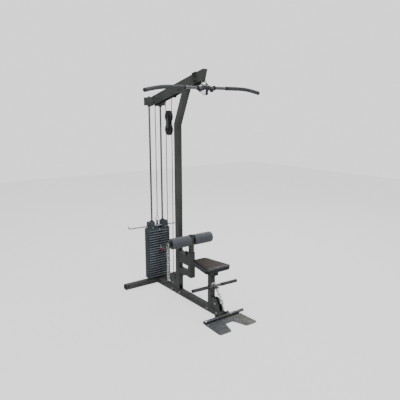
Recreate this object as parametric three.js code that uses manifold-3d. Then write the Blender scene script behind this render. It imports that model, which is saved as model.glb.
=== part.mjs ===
// Lat pulldown machine with a low row station, millimetres, +Z up.
// +X is to the user's right side of the frame, +Y towards the weight stack, -Y towards the user.
// The model is laid out about the foot of the upright and then shifted so that the origin is
// at the middle of the bounding box on the floor.
import * as THREE from 'three';
import { mergeVertices } from 'three/addons/utils/BufferGeometryUtils.js';
import Module from 'manifold-3d';

const wasm = await Module();
wasm.setup();

// ---------------------------------------------------------------- driving dimensions
const ORIGIN_Y = 232.5;         // layout origin (upright centre) sits this far behind the row origin
const GAP = 0.3;               // clearance kept at every contact
const TUBE = 54;               // main square tube, outside
const WALL = 3;                // main tube wall
const BEAM_FRONT_Y = -655, BEAM_REAR_Y = 379;
const FOOT_HALF = 386, FOOT_D = 52, FOOT_H = 52;
const ROD_X = 63.5, ROD_Y = 405, ROD_R = 9.5;
const BEND_Z = 1647, LEAN = 25.5;                   // upright kink height, lean of its head in degrees
const BOOM_SLOPE = 0.2374, BOOM_TOP_Z0 = 1908, BOOM_Y0 = 432;  // boom top edge: z = 1908 + (432 - y) * slope
const BOOM_DEPTH = 92, BOOM_WALL = 4;               // side wall height (vertical) and thickness
const NOSE_LOW_Y = -386;
const EAR_HALF = 108, EAR_Y0 = 384, EAR_Y1 = 430, EAR_Z0 = 1824, EAR_Z1 = 1901;
const PULLEY_R = 50, CABLE_R = 2.8, GROOVE_R = 44;  // boom and base pulleys; cable centre line at GROOVE_R
const BLOCK_R = 57, BLOCK_GROOVE_R = 51;            // pulleys of the floating block
const BLOCK_Y = 151, BLOCK_Z1 = 1719, BLOCK_Z2 = 1600;
const PLATE_COUNT = 20, PLATE_PITCH = 25.4, PLATE_T = 25.0, PLATE_HALF = 127, PLATE_Y0 = 361, PLATE_Y1 = 453;
const STACK_Z0 = 60, PICKED = 8;                    // 8 plates hang on the selector pin
const SEAT_Z0 = 404.5, SEAT_T = 46;
const THIGH_Y = -205, SLEEVE = 50, POST = 40, ROLLER_Z = 591, ROLLER_R = 50;
const PIN_H = 453;
const LATBAR_Y = -430, LATBAR_Z = 1955, LAT_CABLE_Y = -372;
const PLATE_HINGE_Y = -690, PLATE_HINGE_Z = 23;
const cs = Math.cos(Math.atan(BOOM_SLOPE)), sn = Math.sin(Math.atan(BOOM_SLOPE));
const boomTop = (y) => BOOM_TOP_Z0 + (BOOM_Y0 - y) * BOOM_SLOPE;

// ---------------------------------------------------------------- materials
const M = (color, roughness, metalness) => () => new THREE.MeshStandardMaterial({ color, roughness, metalness });
const paint = M(0x3a3d3a, 0.55, 0.3), castIron = M(0x23272b, 0.6, 0.4), chrome = M(0xd0d3d6, 0.15, 1.0);
const rubber = M(0x2b2d33, 0.8, 0.0), nylon = M(0x15161a, 0.5, 0.0), foam = M(0x4a4e57, 0.9, 0.0);
const vinyl = M(0x2b221f, 0.55, 0.0), red = M(0x7a1530, 0.35, 0.0), cableM = M(0x8f9296, 0.4, 0.4), tread = M(0x6c706f, 0.5, 0.7);

// ---------------------------------------------------------------- helpers
const root = new THREE.Group();
root.position.set(0, ORIGIN_Y, 0);
function put(name, geom, mat) {
  const m = new THREE.Mesh(geom, mat());
  m.name = name;
  root.add(m);
  return m;
}
function toManifold(g) {
  const h = g.clone();
  for (const k of Object.keys(h.attributes)) if (k !== 'position') h.deleteAttribute(k);
  const w = mergeVertices(h, 1e-4);
  return new wasm.Manifold(new wasm.Mesh({ numProp: 3,
    vertProperties: new Float32Array(w.attributes.position.array), triVerts: new Uint32Array(w.index.array) }));
}
function toGeometry(m) {
  const q = m.getMesh();
  const g = new THREE.BufferGeometry();
  const n = q.numProp, v = q.vertProperties, p = new Float32Array(v.length / n * 3);
  for (let i = 0; i < v.length / n; i++) for (let k = 0; k < 3; k++) p[i * 3 + k] = v[i * n + k];
  g.setAttribute('position', new THREE.BufferAttribute(p, 3));
  g.setIndex(new THREE.BufferAttribute(new Uint32Array(q.triVerts), 1));
  const flat = g.toNonIndexed();
  flat.computeVertexNormals();
  return flat;
}
const cut = (a, ...bs) => { let m = toManifold(a); for (const b of bs) m = m.subtract(toManifold(b)); return toGeometry(m); };
const join = (a, ...bs) => { let m = toManifold(a); for (const b of bs) m = m.add(toManifold(b)); return toGeometry(m); };
function box(x0, x1, y0, y1, z0, z1) {
  const g = new THREE.BoxGeometry(x1 - x0, y1 - y0, z1 - z0);
  g.translate((x0 + x1) / 2, (y0 + y1) / 2, (z0 + z1) / 2);
  return g;
}
// cylinder of radius r whose axis runs along 'x', 'y' or 'z' from a to b through (u, v), the other two coordinates
function cyl(axis, a, b, u, v, r, seg = 24, r2 = r) {
  const g = new THREE.CylinderGeometry(r2, r, b - a, seg);
  if (axis === 'z') { g.rotateX(Math.PI / 2); g.translate(u, v, (a + b) / 2); }
  if (axis === 'y') g.translate(u, (a + b) / 2, v);
  if (axis === 'x') { g.rotateZ(-Math.PI / 2); g.translate((a + b) / 2, u, v); }
  return g;
}
function roundedRect(w, h, r, seg = 3) {
  const s = new THREE.Shape(), pts = [];
  for (const [cx, cy, a0] of [[w / 2 - r, h / 2 - r, 0], [-w / 2 + r, h / 2 - r, 90], [-w / 2 + r, -h / 2 + r, 180], [w / 2 - r, -h / 2 + r, 270]])
    for (let i = 0; i <= seg; i++) {
      const a = (a0 + 90 * i / seg) * Math.PI / 180;
      pts.push(new THREE.Vector2(cx + r * Math.cos(a), cy + r * Math.sin(a)));
    }
  s.setFromPoints(pts);
  return s;
}
// hollow rectangular tube along 'x', 'y' or 'z' from a to b, centred at (u, v); w x h outside
function tube(axis, a, b, u, v, w, h, wall = WALL, r = 4) {
  const s = roundedRect(w, h, r);
  const len = b - a;
  const g = cut(new THREE.ExtrudeGeometry(s, { depth: len, bevelEnabled: false }),
    box(-w / 2 + wall, w / 2 - wall, -h / 2 + wall, h / 2 - wall, -5, len + 5));
  if (axis === 'z') g.translate(u, v, a);
  if (axis === 'y') { g.rotateX(Math.PI / 2); g.computeBoundingBox(); const c = g.boundingBox.getCenter(new THREE.Vector3()); g.translate(u - c.x, (a + b) / 2 - c.y, v - c.z); }
  if (axis === 'x') { g.rotateX(Math.PI / 2); g.rotateZ(Math.PI / 2); g.computeBoundingBox(); const c = g.boundingBox.getCenter(new THREE.Vector3()); g.translate((a + b) / 2 - c.x, u - c.y, v - c.z); }
  return g;
}
// solid with a profile in the Y-Z plane, from x0 to x1; pts are [y, z]
function prism(pts, x0, x1) {
  const s = new THREE.Shape(pts.map(([y, z]) => new THREE.Vector2(y, z)));
  const g = new THREE.ExtrudeGeometry(s, { depth: x1 - x0, bevelEnabled: false });
  const m = new THREE.Matrix4().makeBasis(new THREE.Vector3(0, 1, 0), new THREE.Vector3(0, 0, 1), new THREE.Vector3(1, 0, 0));
  g.applyMatrix4(m); g.translate(x0, 0, 0);
  return g;
}
// solid with an outline in the X-Y plane, from z0 to z1; pts are [x, y]
function slab(pts, z0, z1) {
  const s = new THREE.Shape(pts.map(([x, y]) => new THREE.Vector2(x, y)));
  const g = new THREE.ExtrudeGeometry(s, { depth: z1 - z0, bevelEnabled: false });
  g.translate(0, 0, z0);
  return g;
}
// round rod along a list of points, smoothed, ends flat
function rod(points, r, seg = 10, steps = 40, closed = false, tension = 0.5, type = 'catmullrom') {
  const c = new THREE.CatmullRomCurve3(points.map((p) => new THREE.Vector3(...p)), closed, type, tension);
  const s = new THREE.Shape();
  s.setFromPoints([...Array(seg)].map((_, i) => new THREE.Vector2(r * Math.cos(2 * Math.PI * i / seg), r * Math.sin(2 * Math.PI * i / seg))));
  return new THREE.ExtrudeGeometry(s, { steps, extrudePath: c, bevelEnabled: false });
}
// polyline swept exactly through its points (used for the cables)
class PolyPath extends THREE.Curve {
  constructor(p) { super(); this.p = p; this.d = [0]; for (let i = 1; i < p.length; i++) this.d.push(this.d[i - 1] + p[i].distanceTo(p[i - 1])); }
  getPoint(t, target = new THREE.Vector3()) {
    const n = this.p.length - 1, f = Math.min(n - 1e-9, Math.max(0, t * n)), i = Math.floor(f);
    return target.copy(this.p[i]).lerp(this.p[i + 1], f - i);
  }
  getPointAt(t, target) { return this.getPoint(t, target); }
  getTangentAt(t, target = new THREE.Vector3()) {
    const n = this.p.length - 1, k = Math.round(t * n);
    const a = this.p[Math.max(0, k - 1)], b = this.p[Math.min(n, k + 1)];
    return target.copy(b).sub(a).normalize();
  }
}
function sweep(points, r, seg = 8) {
  const p = points.map((q) => new THREE.Vector3(...q));
  const s = new THREE.Shape();
  s.setFromPoints([...Array(seg)].map((_, i) => new THREE.Vector2(r * Math.cos(2 * Math.PI * i / seg), r * Math.sin(2 * Math.PI * i / seg))));
  return new THREE.ExtrudeGeometry(s, { steps: p.length - 1, extrudePath: new PolyPath(p), bevelEnabled: false });
}
// arc points in the plane x = 0, centre (y, z), angles in degrees measured from +Y towards +Z
function arc(y, z, r, a0, a1, n) {
  return [...Array(n + 1)].map((_, i) => { const a = (a0 + (a1 - a0) * i / n) * Math.PI / 180; return [0, y + r * Math.cos(a), z + r * Math.sin(a)]; });
}
// grooved pulley about an axis along X at (y, z), with a bore that its bolt runs in
function pulley(y, z, R, half, groove, bore = 6.4) {
  const pr = [[bore, -half - 4], [14, -half - 4], [14, -half], [R, -half], [R, -half + 3], [groove - CABLE_R - 1.6, -3.4], [groove - CABLE_R - 1.6, 3.4], [R, half - 3], [R, half], [14, half], [14, half + 4], [bore, half + 4], [bore, -half - 4]];
  const g = new THREE.LatheGeometry(pr.map(([r, h]) => new THREE.Vector2(r, h)), 20);
  g.rotateZ(-Math.PI / 2); g.translate(0, y, z);
  return g;
}
const P_HALF = 11;                       // pulley half width

// ---------------------------------------------------------------- base
{
  let g = tube('y', BEAM_FRONT_Y, BEAM_REAR_Y - GAP, 0, TUBE / 2, TUBE, TUBE);
  put('base_beam', g, paint);
  put('rear_cross_foot', tube('x', -FOOT_HALF, FOOT_HALF, BEAM_REAR_Y + FOOT_D / 2, FOOT_H / 2, FOOT_D, FOOT_H), paint);
}
// upright: vertical run, then a head that leans forward to meet the boom
const leanT = Math.tan(LEAN * Math.PI / 180);
{
  const h = TUBE / 2, z0 = TUBE + GAP;
  // the mitre follows the half angle of the kink
  const mit = Math.tan(LEAN / 2 * Math.PI / 180) * h;
  // upper ends of the head's front and rear faces, on the boom's underside
  const under = (y) => boomTop(y) - BOOM_DEPTH - GAP;
  const solve = (y1, z1) => { let y = y1 - 60; for (let i = 0; i < 60; i++) { const z = under(y); y = y1 - (z - z1) * leanT; } return [y, under(y)]; };
  const prof = (o) => {
    const m = Math.tan(LEAN / 2 * Math.PI / 180) * (h - o);
    const f = [-(h - o), BEND_Z - m * 1], b = [h - o, BEND_Z + m * 1];
    return { f, b };
  };
  const o0 = prof(0), o1 = prof(WALL);
  const ft = solve(...o0.f), bt = solve(...o0.b);
  const fi = solve(...o1.f), bi = solve(...o1.b);
  const up = ([y, z], d) => [y - d * leanT, z + d];
  const outer = prism([[-h, z0], [h, z0], o0.b, bt, ft, o0.f], -h, h);
  const inner = prism([[-(h - WALL), z0 - 5], [h - WALL, z0 - 5], o1.b, up(bi, 20), up(fi, 20), o1.f], -h + WALL, h - WALL);
  const slot = box(-13, 13, -h - 2, h + 2, 0, 100);       // lets the low cable pass
  put('upright', cut(outer, inner, slot), paint);
}
// boom: folded channel open below, closed nose, rod ears welded to its sides
{
  const yA = BOOM_Y0, yB = -419, h = TUBE / 2, t = BOOM_WALL;
  const top = (y) => boomTop(y);
  const nose = [NOSE_LOW_Y, top(NOSE_LOW_Y) - BOOM_DEPTH];     // the nose plate is undercut
  const outer = prism([[yA, top(yA)], [yB, top(yB)], nose, [yA, top(yA) - BOOM_DEPTH]], -h, h);
  const k = t / cs, sy = NOSE_LOW_Y - yB, sz = top(yB) - nose[1];
  const inner = prism([[yA + 5, top(yA + 5) - k], [yB + k, top(yB + k) - k], [yB + k + 1.6 * sy, top(yB + k) - k - 1.6 * sz], [yA + 5, top(yA + 5) - BOOM_DEPTH - 60]], -h + t, h - t);
  const shell = toManifold(outer).subtract(toManifold(inner));
  // closing plate over the head of the upright
  const yc0 = -180, yc1 = -20;
  const plateM = toManifold(prism([[yc1, top(yc1) - BOOM_DEPTH], [yc0, top(yc0) - BOOM_DEPTH], [yc0, top(yc0) - BOOM_DEPTH + 4], [yc1, top(yc1) - BOOM_DEPTH + 4]], -h + 1, h - 1));
  let all = shell.add(plateM);
  for (const s of [-1, 1]) {
    const xa = s * (h - 1), xb = s * EAR_HALF;
    const ear = toManifold(box(Math.min(xa, xb), Math.max(xa, xb), EAR_Y0, EAR_Y1, EAR_Z0, EAR_Z1));
    const ia = s * (h + 4), ib = s * (EAR_HALF - 3);
    const hollow = toManifold(box(Math.min(ia, ib), Math.max(ia, ib), EAR_Y0 + 3, EAR_Y1 - 3, EAR_Z0 + 3, EAR_Z1 - 3));
    const hole = toManifold(cyl('z', EAR_Z0 - 3, EAR_Z0 + 6, s * ROD_X, ROD_Y, ROD_R + 0.6, 20));
    all = all.add(ear).subtract(hollow).subtract(hole);
  }
  put('boom', toGeometry(all), paint);
}
for (const [s, side] of [[-1, 'left'], [1, 'right']])
  put(`guide_rod_${side}`, cyl('z', FOOT_H + GAP, EAR_Z0 + 50, s * ROD_X, ROD_Y, ROD_R, 20), chrome);
put('stack_cushion', cut(box(-100, 100, BEAM_REAR_Y + 3, BEAM_REAR_Y + FOOT_D - 3, FOOT_H + GAP, STACK_Z0 - GAP),
  cyl('z', 40, 70, -ROD_X, ROD_Y, ROD_R + 0.8, 16), cyl('z', 40, 70, ROD_X, ROD_Y, ROD_R + 0.8, 16)), rubber);

// ---------------------------------------------------------------- weight stack
const STEM_R = 12;
{
  const b = 4;
  for (let i = 0; i < PLATE_COUNT; i++) {
    const zt = STACK_Z0 + (PLATE_COUNT - i) * PLATE_PITCH - (PLATE_PITCH - PLATE_T), zb = zt - PLATE_T;
    const yc = (PLATE_Y0 + PLATE_Y1) / 2, hy = (PLATE_Y1 - PLATE_Y0) / 2;
    // bevelled slab: outline with cut corners, chamfered top and bottom edges
    const ol = (d) => [[-PLATE_HALF + d, -hy + 6 + d * 0.4], [-PLATE_HALF + 6 + d * 0.4, -hy + d], [PLATE_HALF - 6 - d * 0.4, -hy + d], [PLATE_HALF - d, -hy + 6 + d * 0.4],
      [PLATE_HALF - d, hy - 6 - d * 0.4], [PLATE_HALF - 6 - d * 0.4, hy - d], [-PLATE_HALF + 6 + d * 0.4, hy - d], [-PLATE_HALF + d, hy - 6 - d * 0.4]];
    const L = [[b, zb], [0, zb + b], [0, zt - b], [b, zt]].map(([d, z]) => ol(d).map(([x, y]) => [x, y + yc, z]));
    const pos = [], idx = [];
    for (const l of L) for (const q of l) pos.push(...q);
    for (let k = 0; k < 3; k++) for (let j = 0; j < 8; j++) {
      const a = k * 8 + j, c = k * 8 + (j + 1) % 8, d = a + 8, e = c + 8;
      idx.push(a, c, e, a, e, d);
    }
    for (let j = 1; j < 7; j++) { idx.push(0, j + 1, j); idx.push(24, 24 + j, 24 + j + 1); }
    const g = new THREE.BufferGeometry();
    g.setAttribute('position', new THREE.Float32BufferAttribute(pos, 3)); g.setIndex(idx);
    const zc = (zt + zb) / 2;
    const tools = [cyl('z', zb - 2, zt + 2, -ROD_X, ROD_Y, ROD_R + 2, 8), cyl('z', zb - 2, zt + 2, ROD_X, ROD_Y, ROD_R + 2, 8),
      cyl('z', zb - 2, zt + 2, 0, ROD_Y, STEM_R + 2.2, 8), box(-6.2, 6.2, PLATE_Y0 - 5, ROD_Y, zc - 6.2, zc + 6.2)];
    put(`weight_plate_${String(i + 1).padStart(2, '0')}`, cut(g, ...tools), castIron);
  }
}
const TOP_Z = STACK_Z0 + PLATE_COUNT * PLATE_PITCH;      // underside of the top plate
const PIN_Z = TOP_Z - (PLATE_PITCH - PLATE_T) - (PICKED - 1) * PLATE_PITCH - PLATE_T / 2;
{
  // top plate: slab with a raised collar round each rod and a clevis block in the middle
  const z = TOP_Z;
  const base = box(-PLATE_HALF + 3, PLATE_HALF - 3, PLATE_Y0 + 2, PLATE_Y1 - 2, z, z + 22);
  const colL = cyl('z', z + 10, z + 62, -ROD_X, ROD_Y, 21, 16), colR = cyl('z', z + 10, z + 62, ROD_X, ROD_Y, 21, 16);
  const rib = box(-100, 100, ROD_Y - 13, ROD_Y + 13, z + 15, z + 40);
  const boss = cyl('z', z + 15, z + 52, 0, ROD_Y, 19, 16);
  // bracket ears beside the collars that carry the side rod
  const earL = box(-116, -50, PLATE_Y0 + 2, ROD_Y + 18, z + 18, z + 94), earR = box(34, 98, PLATE_Y0 + 2, ROD_Y + 18, z + 18, z + 94);
  const SR = (x) => [x, PLATE_Y0 + 13, z + 52 - x * 0.026];
  put('top_plate', cut(join(base, colL, colR, rib, boss, earL, earR), cyl('z', z - 5, z + 99, -ROD_X, ROD_Y, ROD_R + 1.5, 10), cyl('z', z - 5, z + 99, ROD_X, ROD_Y, ROD_R + 1.5, 10),
    cyl('z', z - 5, z + 60, 0, ROD_Y, STEM_R + 1.2, 12), rod([SR(-130), SR(0), SR(130)], 5.5, 12, 4)), castIron);
  // selector stem with its cross holes and the eye that the cable hooks on to
  const stemTop = z + 74, stemBot = TOP_Z - 13 * PLATE_PITCH;
  const stem = join(cyl('z', stemBot, stemTop, 0, ROD_Y, STEM_R, 10), box(-5, 5, ROD_Y - 13, ROD_Y + 13, stemTop - 4, stemTop + 24));
  const holes = [];
  for (let i = 0; i < 12; i++) { const zc = TOP_Z - (PLATE_PITCH - PLATE_T) - i * PLATE_PITCH - PLATE_T / 2; holes.push(box(-6.2, 6.2, ROD_Y - 20, ROD_Y + 20, zc - 6.2, zc + 6.2)); }
  put('selector_stem', cut(stem, ...holes, cyl('x', -10, 10, ROD_Y, stemTop + 11, 6.5, 12)), chrome);
  // selector pin: rod with a ball knob
  const knob = new THREE.SphereGeometry(19.5, 14, 10); knob.translate(0, PLATE_Y0 - 57, PIN_Z);
  put('selector_pin', join(cyl('y', PLATE_Y0 - 45, ROD_Y + 11, 0, PIN_Z, 5, 12), cyl('y', PLATE_Y0 - 40, PLATE_Y0 - 1, 0, PIN_Z, 9, 16), knob), red);
  // cross rod through the top plate's ears with an upturned end
  put('stack_side_rod', rod([[-345, PLATE_Y0 + 13, z + 86], [-344.5, PLATE_Y0 + 13, z + 73], [-338, PLATE_Y0 + 13, z + 62.5], SR(-325), SR(-200), SR(-100), SR(60), SR(190)], 5, 8, 22), chrome);
}

// ---------------------------------------------------------------- pulleys
const depth = 4 + 3 + PULLEY_R;           // pulley centre below the boom's top face, square to the boom
const pc = (y) => [y, boomTop(y) - depth / cs];
const C_FRONT = pc(LAT_CABLE_Y + GROOVE_R), C_MID = pc(100 - GROOVE_R), C_BLK = pc(202 + GROOVE_R), C_STK = pc(400 - GROOVE_R);
put('boom_pulley_front', pulley(...C_FRONT, PULLEY_R, P_HALF, GROOVE_R), nylon);
put('boom_pulley_middle', pulley(...C_MID, PULLEY_R, P_HALF, GROOVE_R), nylon);
put('boom_pulley_block', pulley(...C_BLK, PULLEY_R, P_HALF, GROOVE_R), nylon);
put('boom_pulley_stack', pulley(...C_STK, PULLEY_R, P_HALF, GROOVE_R), nylon);
put('block_pulley_upper', pulley(BLOCK_Y, BLOCK_Z1, BLOCK_R, P_HALF, BLOCK_GROOVE_R), nylon);
put('block_pulley_lower', pulley(BLOCK_Y, BLOCK_Z2, BLOCK_R, P_HALF, BLOCK_GROOVE_R), nylon);
{
  // block bracket: two cheeks joined by the pulley bolts
  const ol = (x0, x1) => {
    const pts = [];
    for (let i = 0; i <= 8; i++) { const a = Math.PI * i / 8; pts.push([BLOCK_Y + 17 * Math.cos(a), BLOCK_Z1 + 17 * Math.sin(a)]); }
    for (let i = 0; i <= 8; i++) { const a = Math.PI + Math.PI * i / 8; pts.push([BLOCK_Y + 17 * Math.cos(a), BLOCK_Z2 + 17 * Math.sin(a)]); }
    return prism(pts, x0, x1);
  };
  const q = P_HALF + 4 + GAP;
  put('block_bracket', join(ol(-q - 4, -q), ol(q, q + 4), cyl('x', -q - 8, q + 8, BLOCK_Y, BLOCK_Z1, 6, 14), cyl('x', -q - 8, q + 8, BLOCK_Y, BLOCK_Z2, 6, 14)), paint);
}
const BASE_R = 40, BASE_GROOVE = 34.5, BASE_C = [108 - BASE_GROOVE, 101], LOW_C = [-597, 110];
put('base_pulley', pulley(...BASE_C, BASE_R, P_HALF, BASE_GROOVE), nylon);
put('low_pulley', pulley(...LOW_C, PULLEY_R, P_HALF, GROOVE_R), nylon);
{
  // base pulley bracket: two gusset cheeks behind the upright's foot, tied by the pulley bolt and the cable anchor bar
  const out = [[27.3, TUBE + GAP], [172, TUBE + GAP], [172, 100], [150, 160], [40, 205], [27.3, 205]];
  const q = P_HALF + 4 + GAP;
  const cheek = (a, b) => cut(prism(out, a, b), prism([[122, 62], [164, 62], [164, 98], [138, 98]], a - 5, b + 5));
  put('base_pulley_bracket', join(cheek(-q - 5, -q), cheek(q, q + 5), cyl('x', -q - 10, q + 10, ...BASE_C, 6, 14),
    box(-q - 5, q + 5, 165, 214, TUBE + GAP, 60)), paint);
  // low pulley bracket: cheeks bolted to the beam in front of the seat post
  const o2 = [[-536.4, TUBE + GAP], [-536.4, 146], [-568, 156], [-606, 150], [-630, 118], [-646, 84], [-652, 70], [-652, TUBE + GAP]];
  put('low_pulley_bracket', join(prism(o2, -q - 5, -q), prism(o2, q, q + 5), cyl('x', -q - 10, q + 10, ...LOW_C, 6, 14),
    box(-q - 1, q + 1, -543, -536.4, 70, 128)), paint);
}

// ---------------------------------------------------------------- seat and thigh pads
{
  const post = tube('z', TUBE + GAP, 356, 0, -512, 48, 48, WALL, 3);
  const carrier = tube('y', -578, -410, 0, 379, 46, 48, WALL, 3);
  const pl = box(-75, 75, -560, -430, 401, 404.2);
  // two prongs welded to the front of the post, on which the low bar rests
  const out = [[-535, 214], [-535, 246], [-548.6, 246.5], [-552, 241.5], [-563, 240.5], [-585, 246], [-591, 253], [-596, 251], [-588, 234], [-566, 226]];
  put('seat_post', cut(join(post, carrier, pl, prism(out, -22, -17), prism(out, 17, 22)), box(-13, 13, -540, -480, 0, 84)), paint);
  // seat pad: tapered outline with round corners
  const s = [], yF = -638, yR = -318, wF = 134, wR = 94, x0 = -8;
  const corner = (cx, cy, rc, a0) => { for (let i = 0; i <= 6; i++) { const a = (a0 + 90 * i / 6) * Math.PI / 180; s.push([x0 + cx + rc * Math.cos(a), cy + rc * Math.sin(a)]); } };
  corner(wR - 62, yR - 62, 62, 0); corner(-wR + 62, yR - 62, 62, 90); corner(-wF + 36, yF + 36, 36, 180); corner(wF - 36, yF + 36, 36, 270);
  put('seat_pad', slab(s, SEAT_Z0, SEAT_Z0 + SEAT_T), vinyl);
}
{
  // sleeve with the two arms that carry it off the upright
  const y0 = -TUBE / 2 - GAP, hs = SLEEVE / 2;
  const sleeve = box(-hs, hs, THIGH_Y - hs, THIGH_Y + hs, 229, 475);
  const arm1 = prism([[y0, 338], [THIGH_Y + hs - 1, 338], [THIGH_Y + hs - 1, 424], [y0, 452]], -hs + 2, hs - 2);
  const arm2 = prism([[y0, 224], [THIGH_Y + hs - 1, 234], [THIGH_Y + hs - 1, 286], [y0, 280]], -hs + 2, hs - 2);
  const bore = box(-POST / 2 - 0.8, POST / 2 + 0.8, THIGH_Y - POST / 2 - 0.8, THIGH_Y + POST / 2 + 0.8, 200, 500);
  const h1 = box(-hs + 5, hs - 5, -170, 5, 341.5, 418), h2 = box(-hs + 5, hs - 5, -170, 5, 237, 277);
  put('thigh_sleeve', cut(join(sleeve, arm1, arm2), bore, h1, h2, cyl('y', -190, -160, 0, PIN_H, 6, 12)), paint);
  // post with the roller shaft through its head
  const shaft = cyl('x', -226, 226, THIGH_Y, ROLLER_Z, 12.5, 20);
  const post = join(tube('z', 300, 640, 0, THIGH_Y, POST, POST, 2.5, 3), shaft, cyl('x', -268, -225, THIGH_Y, ROLLER_Z, 6, 12));
  put('thigh_post', post, paint);
  for (const [s, side] of [[-1, 'left'], [1, 'right']])
    put(`thigh_roller_${side}`, cut(cyl('x', s < 0 ? -224 : 24, s < 0 ? -24 : 224, THIGH_Y, ROLLER_Z, ROLLER_R, 32), cyl('x', -240, 240, THIGH_Y, ROLLER_Z, 13.1, 20)), foam);
  // spring pin with a round knob behind the sleeve
  put('thigh_pin', join(cyl('y', -184, -128, 0, PIN_H, 5, 12), cyl('y', -136, -112, 0, PIN_H, 13, 20)), nylon);
}

// ---------------------------------------------------------------- handles
{
  // lat bar: straight middle, both ends turned down, with a centre eye
  const yaw = -3.4 * Math.PI / 180, half = 572;
  const P = (u, d) => [u * Math.cos(yaw), LATBAR_Y + u * Math.sin(yaw), LATBAR_Z - d];
  const pts = [P(-half, 33), P(-half * 0.87, 16.5), P(-half * 0.74, 4.2), P(-half * 0.62, 0), P(-half * 0.3, 0), P(0, 0), P(half * 0.3, 0), P(half * 0.62, 0), P(half * 0.74, 4.2), P(half * 0.87, 16.5), P(half, 33)];
  const bar = rod(pts, 15, 10, 26);
  const eye = cut(box(-4, 4, LATBAR_Y - 14, LATBAR_Y + 14, LATBAR_Z - 8, LATBAR_Z + 34), cyl('x', -12, 12, LATBAR_Y, LATBAR_Z + 21, 8.5, 16));
  put('lat_bar', join(bar, eye), chrome);
  // swivel ball and the snap link that carries the bar's eye
  const ball = new THREE.SphereGeometry(7, 10, 7); ball.translate(0, LAT_CABLE_Y, 1991.5);
  // oval snap link, long axis from the thimble to the bar's eye
  const y1 = LAT_CABLE_Y, z1 = 1984, y2 = LATBAR_Y, z2 = LATBAR_Z + 22;
  const loop = new THREE.TorusGeometry(1, 0.26, 6, 18);
  loop.scale(1, 1, 1);
  const len = Math.hypot(y2 - y1, z2 - z1) / 2;
  {
    const p = loop.attributes.position;
    for (let i = 0; i < p.count; i++) {
      // torus in local X-Y: rebuild it as a tube of constant thickness round an oval
      const x = p.getX(i), y = p.getY(i), z = p.getZ(i), R = Math.hypot(x, y), th = Math.atan2(y, x);
      const ca = 12.5, cb = len + 2, dr = (R - 1) / 0.26 * 3.6, dz = z / 0.26 * 3.6;
      const nx = Math.cos(th) * cb, ny = Math.sin(th) * ca, nl = Math.hypot(nx, ny);
      p.setXYZ(i, Math.cos(th) * ca + nx / nl * dr, Math.sin(th) * cb + ny / nl * dr, dz);
    }
    loop.rotateX(Math.atan2(z1 - z2, y1 - y2));
    loop.translate(0, (y1 + y2) / 2, (z1 + z2) / 2);
  }
  put('lat_link', join(ball, loop), chrome);
  put('lat_cable_end', join(cyl('z', 1998.9, 2024, 0, LAT_CABLE_Y, CABLE_R, 10), cyl('z', 1998.9, 2011, 0, LAT_CABLE_Y, 5, 12)), chrome);
}
const LOWBAR_Y = -562, LOWBAR_Z = 258;
{
  const yaw = -3.5 * Math.PI / 180, half = 238;
  const P = (u) => [u * Math.cos(yaw), LOWBAR_Y + u * Math.sin(yaw), LOWBAR_Z];
  const eye = cut(box(-5, 5, LOWBAR_Y - 40, LOWBAR_Y - 4, LOWBAR_Z - 12, LOWBAR_Z + 8), cyl('x', -12, 12, LOWBAR_Y - 28, LOWBAR_Z - 2, 6.5, 12));
  put('low_bar', join(rod([P(-half), P(-half / 2), P(0), P(half / 2), P(half)], 13, 16, 8), eye), chrome);
  // chain from the low bar down to the low cable's end, kept as one slim solid
  put('low_chain', rod([[0, LOWBAR_Y - 28.3, LOWBAR_Z - 22], [0, -600, 214], [0, -636, 172], [0, -668, 122], [0, -682, 90], [0, -684, 76]], 5.5, 8, 20), chrome);
}
// spare chain that hangs from the pin at the left end of the roller shaft
put('spare_chain', rod([[-256, THIGH_Y, 584.3], [-256, THIGH_Y, 500], [-256, THIGH_Y, 400], [-256, THIGH_Y, 262]], 6, 8, 12), chrome);

// ---------------------------------------------------------------- foot plate
{
  const hy = PLATE_HINGE_Y, hz = PLATE_HINGE_Z;
  // two outer hinge sleeves, one middle barrel on the base
  const z0 = 4, z1 = 9.5;
  const FP_X = -21;      // the plate sits a little to the left of the beam's centre line
  const sym = [[-190, hy], [-194, hy - 24], [-203, -900], [-190, -918], [-90, -918], [-78, -906], [-44, -797], [-32, -786], [32, -786], [44, -797], [78, -906], [90, -918], [190, -918], [203, -900], [194, hy - 24], [190, hy]].map(([x, y]) => [x + FP_X, y]);
  const plate = slab(sym, z0, z1);
  const sl = cyl('x', -214, -66, hy, hz, 13, 20), sr = cyl('x', 66, 214, hy, hz, 13, 20);
  const w1 = box(-205, -68, hy - 6, hy + 6, z1 - 1, hz - 3), w2 = box(68, 165, hy - 6, hy + 6, z1 - 1, hz - 3);
  const clear = cyl('x', -66, 66, hy, hz, 16.5, 20);
  put('foot_plate', cut(join(plate, sl, sr, w1, w2), clear, cyl('x', -230, 230, hy, hz, 8.1, 16)), tread);
  // barrel, hinge rod and the bracket that joins them to the beam
  const br = box(-30, 30, hy + 6, BEAM_FRONT_Y - GAP, 2, 52);
  const foot = box(-74, 74, BEAM_FRONT_Y - 14, BEAM_FRONT_Y - GAP, 2, 40);
  put('foot_hinge_bracket', join(cut(br, box(-24, 24, hy + 2, BEAM_FRONT_Y - 8, 36, 60)), foot, cyl('x', -65, 65, hy, hz, 14, 20), cyl('x', -218, 218, hy, hz, 7.6, 16)), paint);
}

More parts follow.
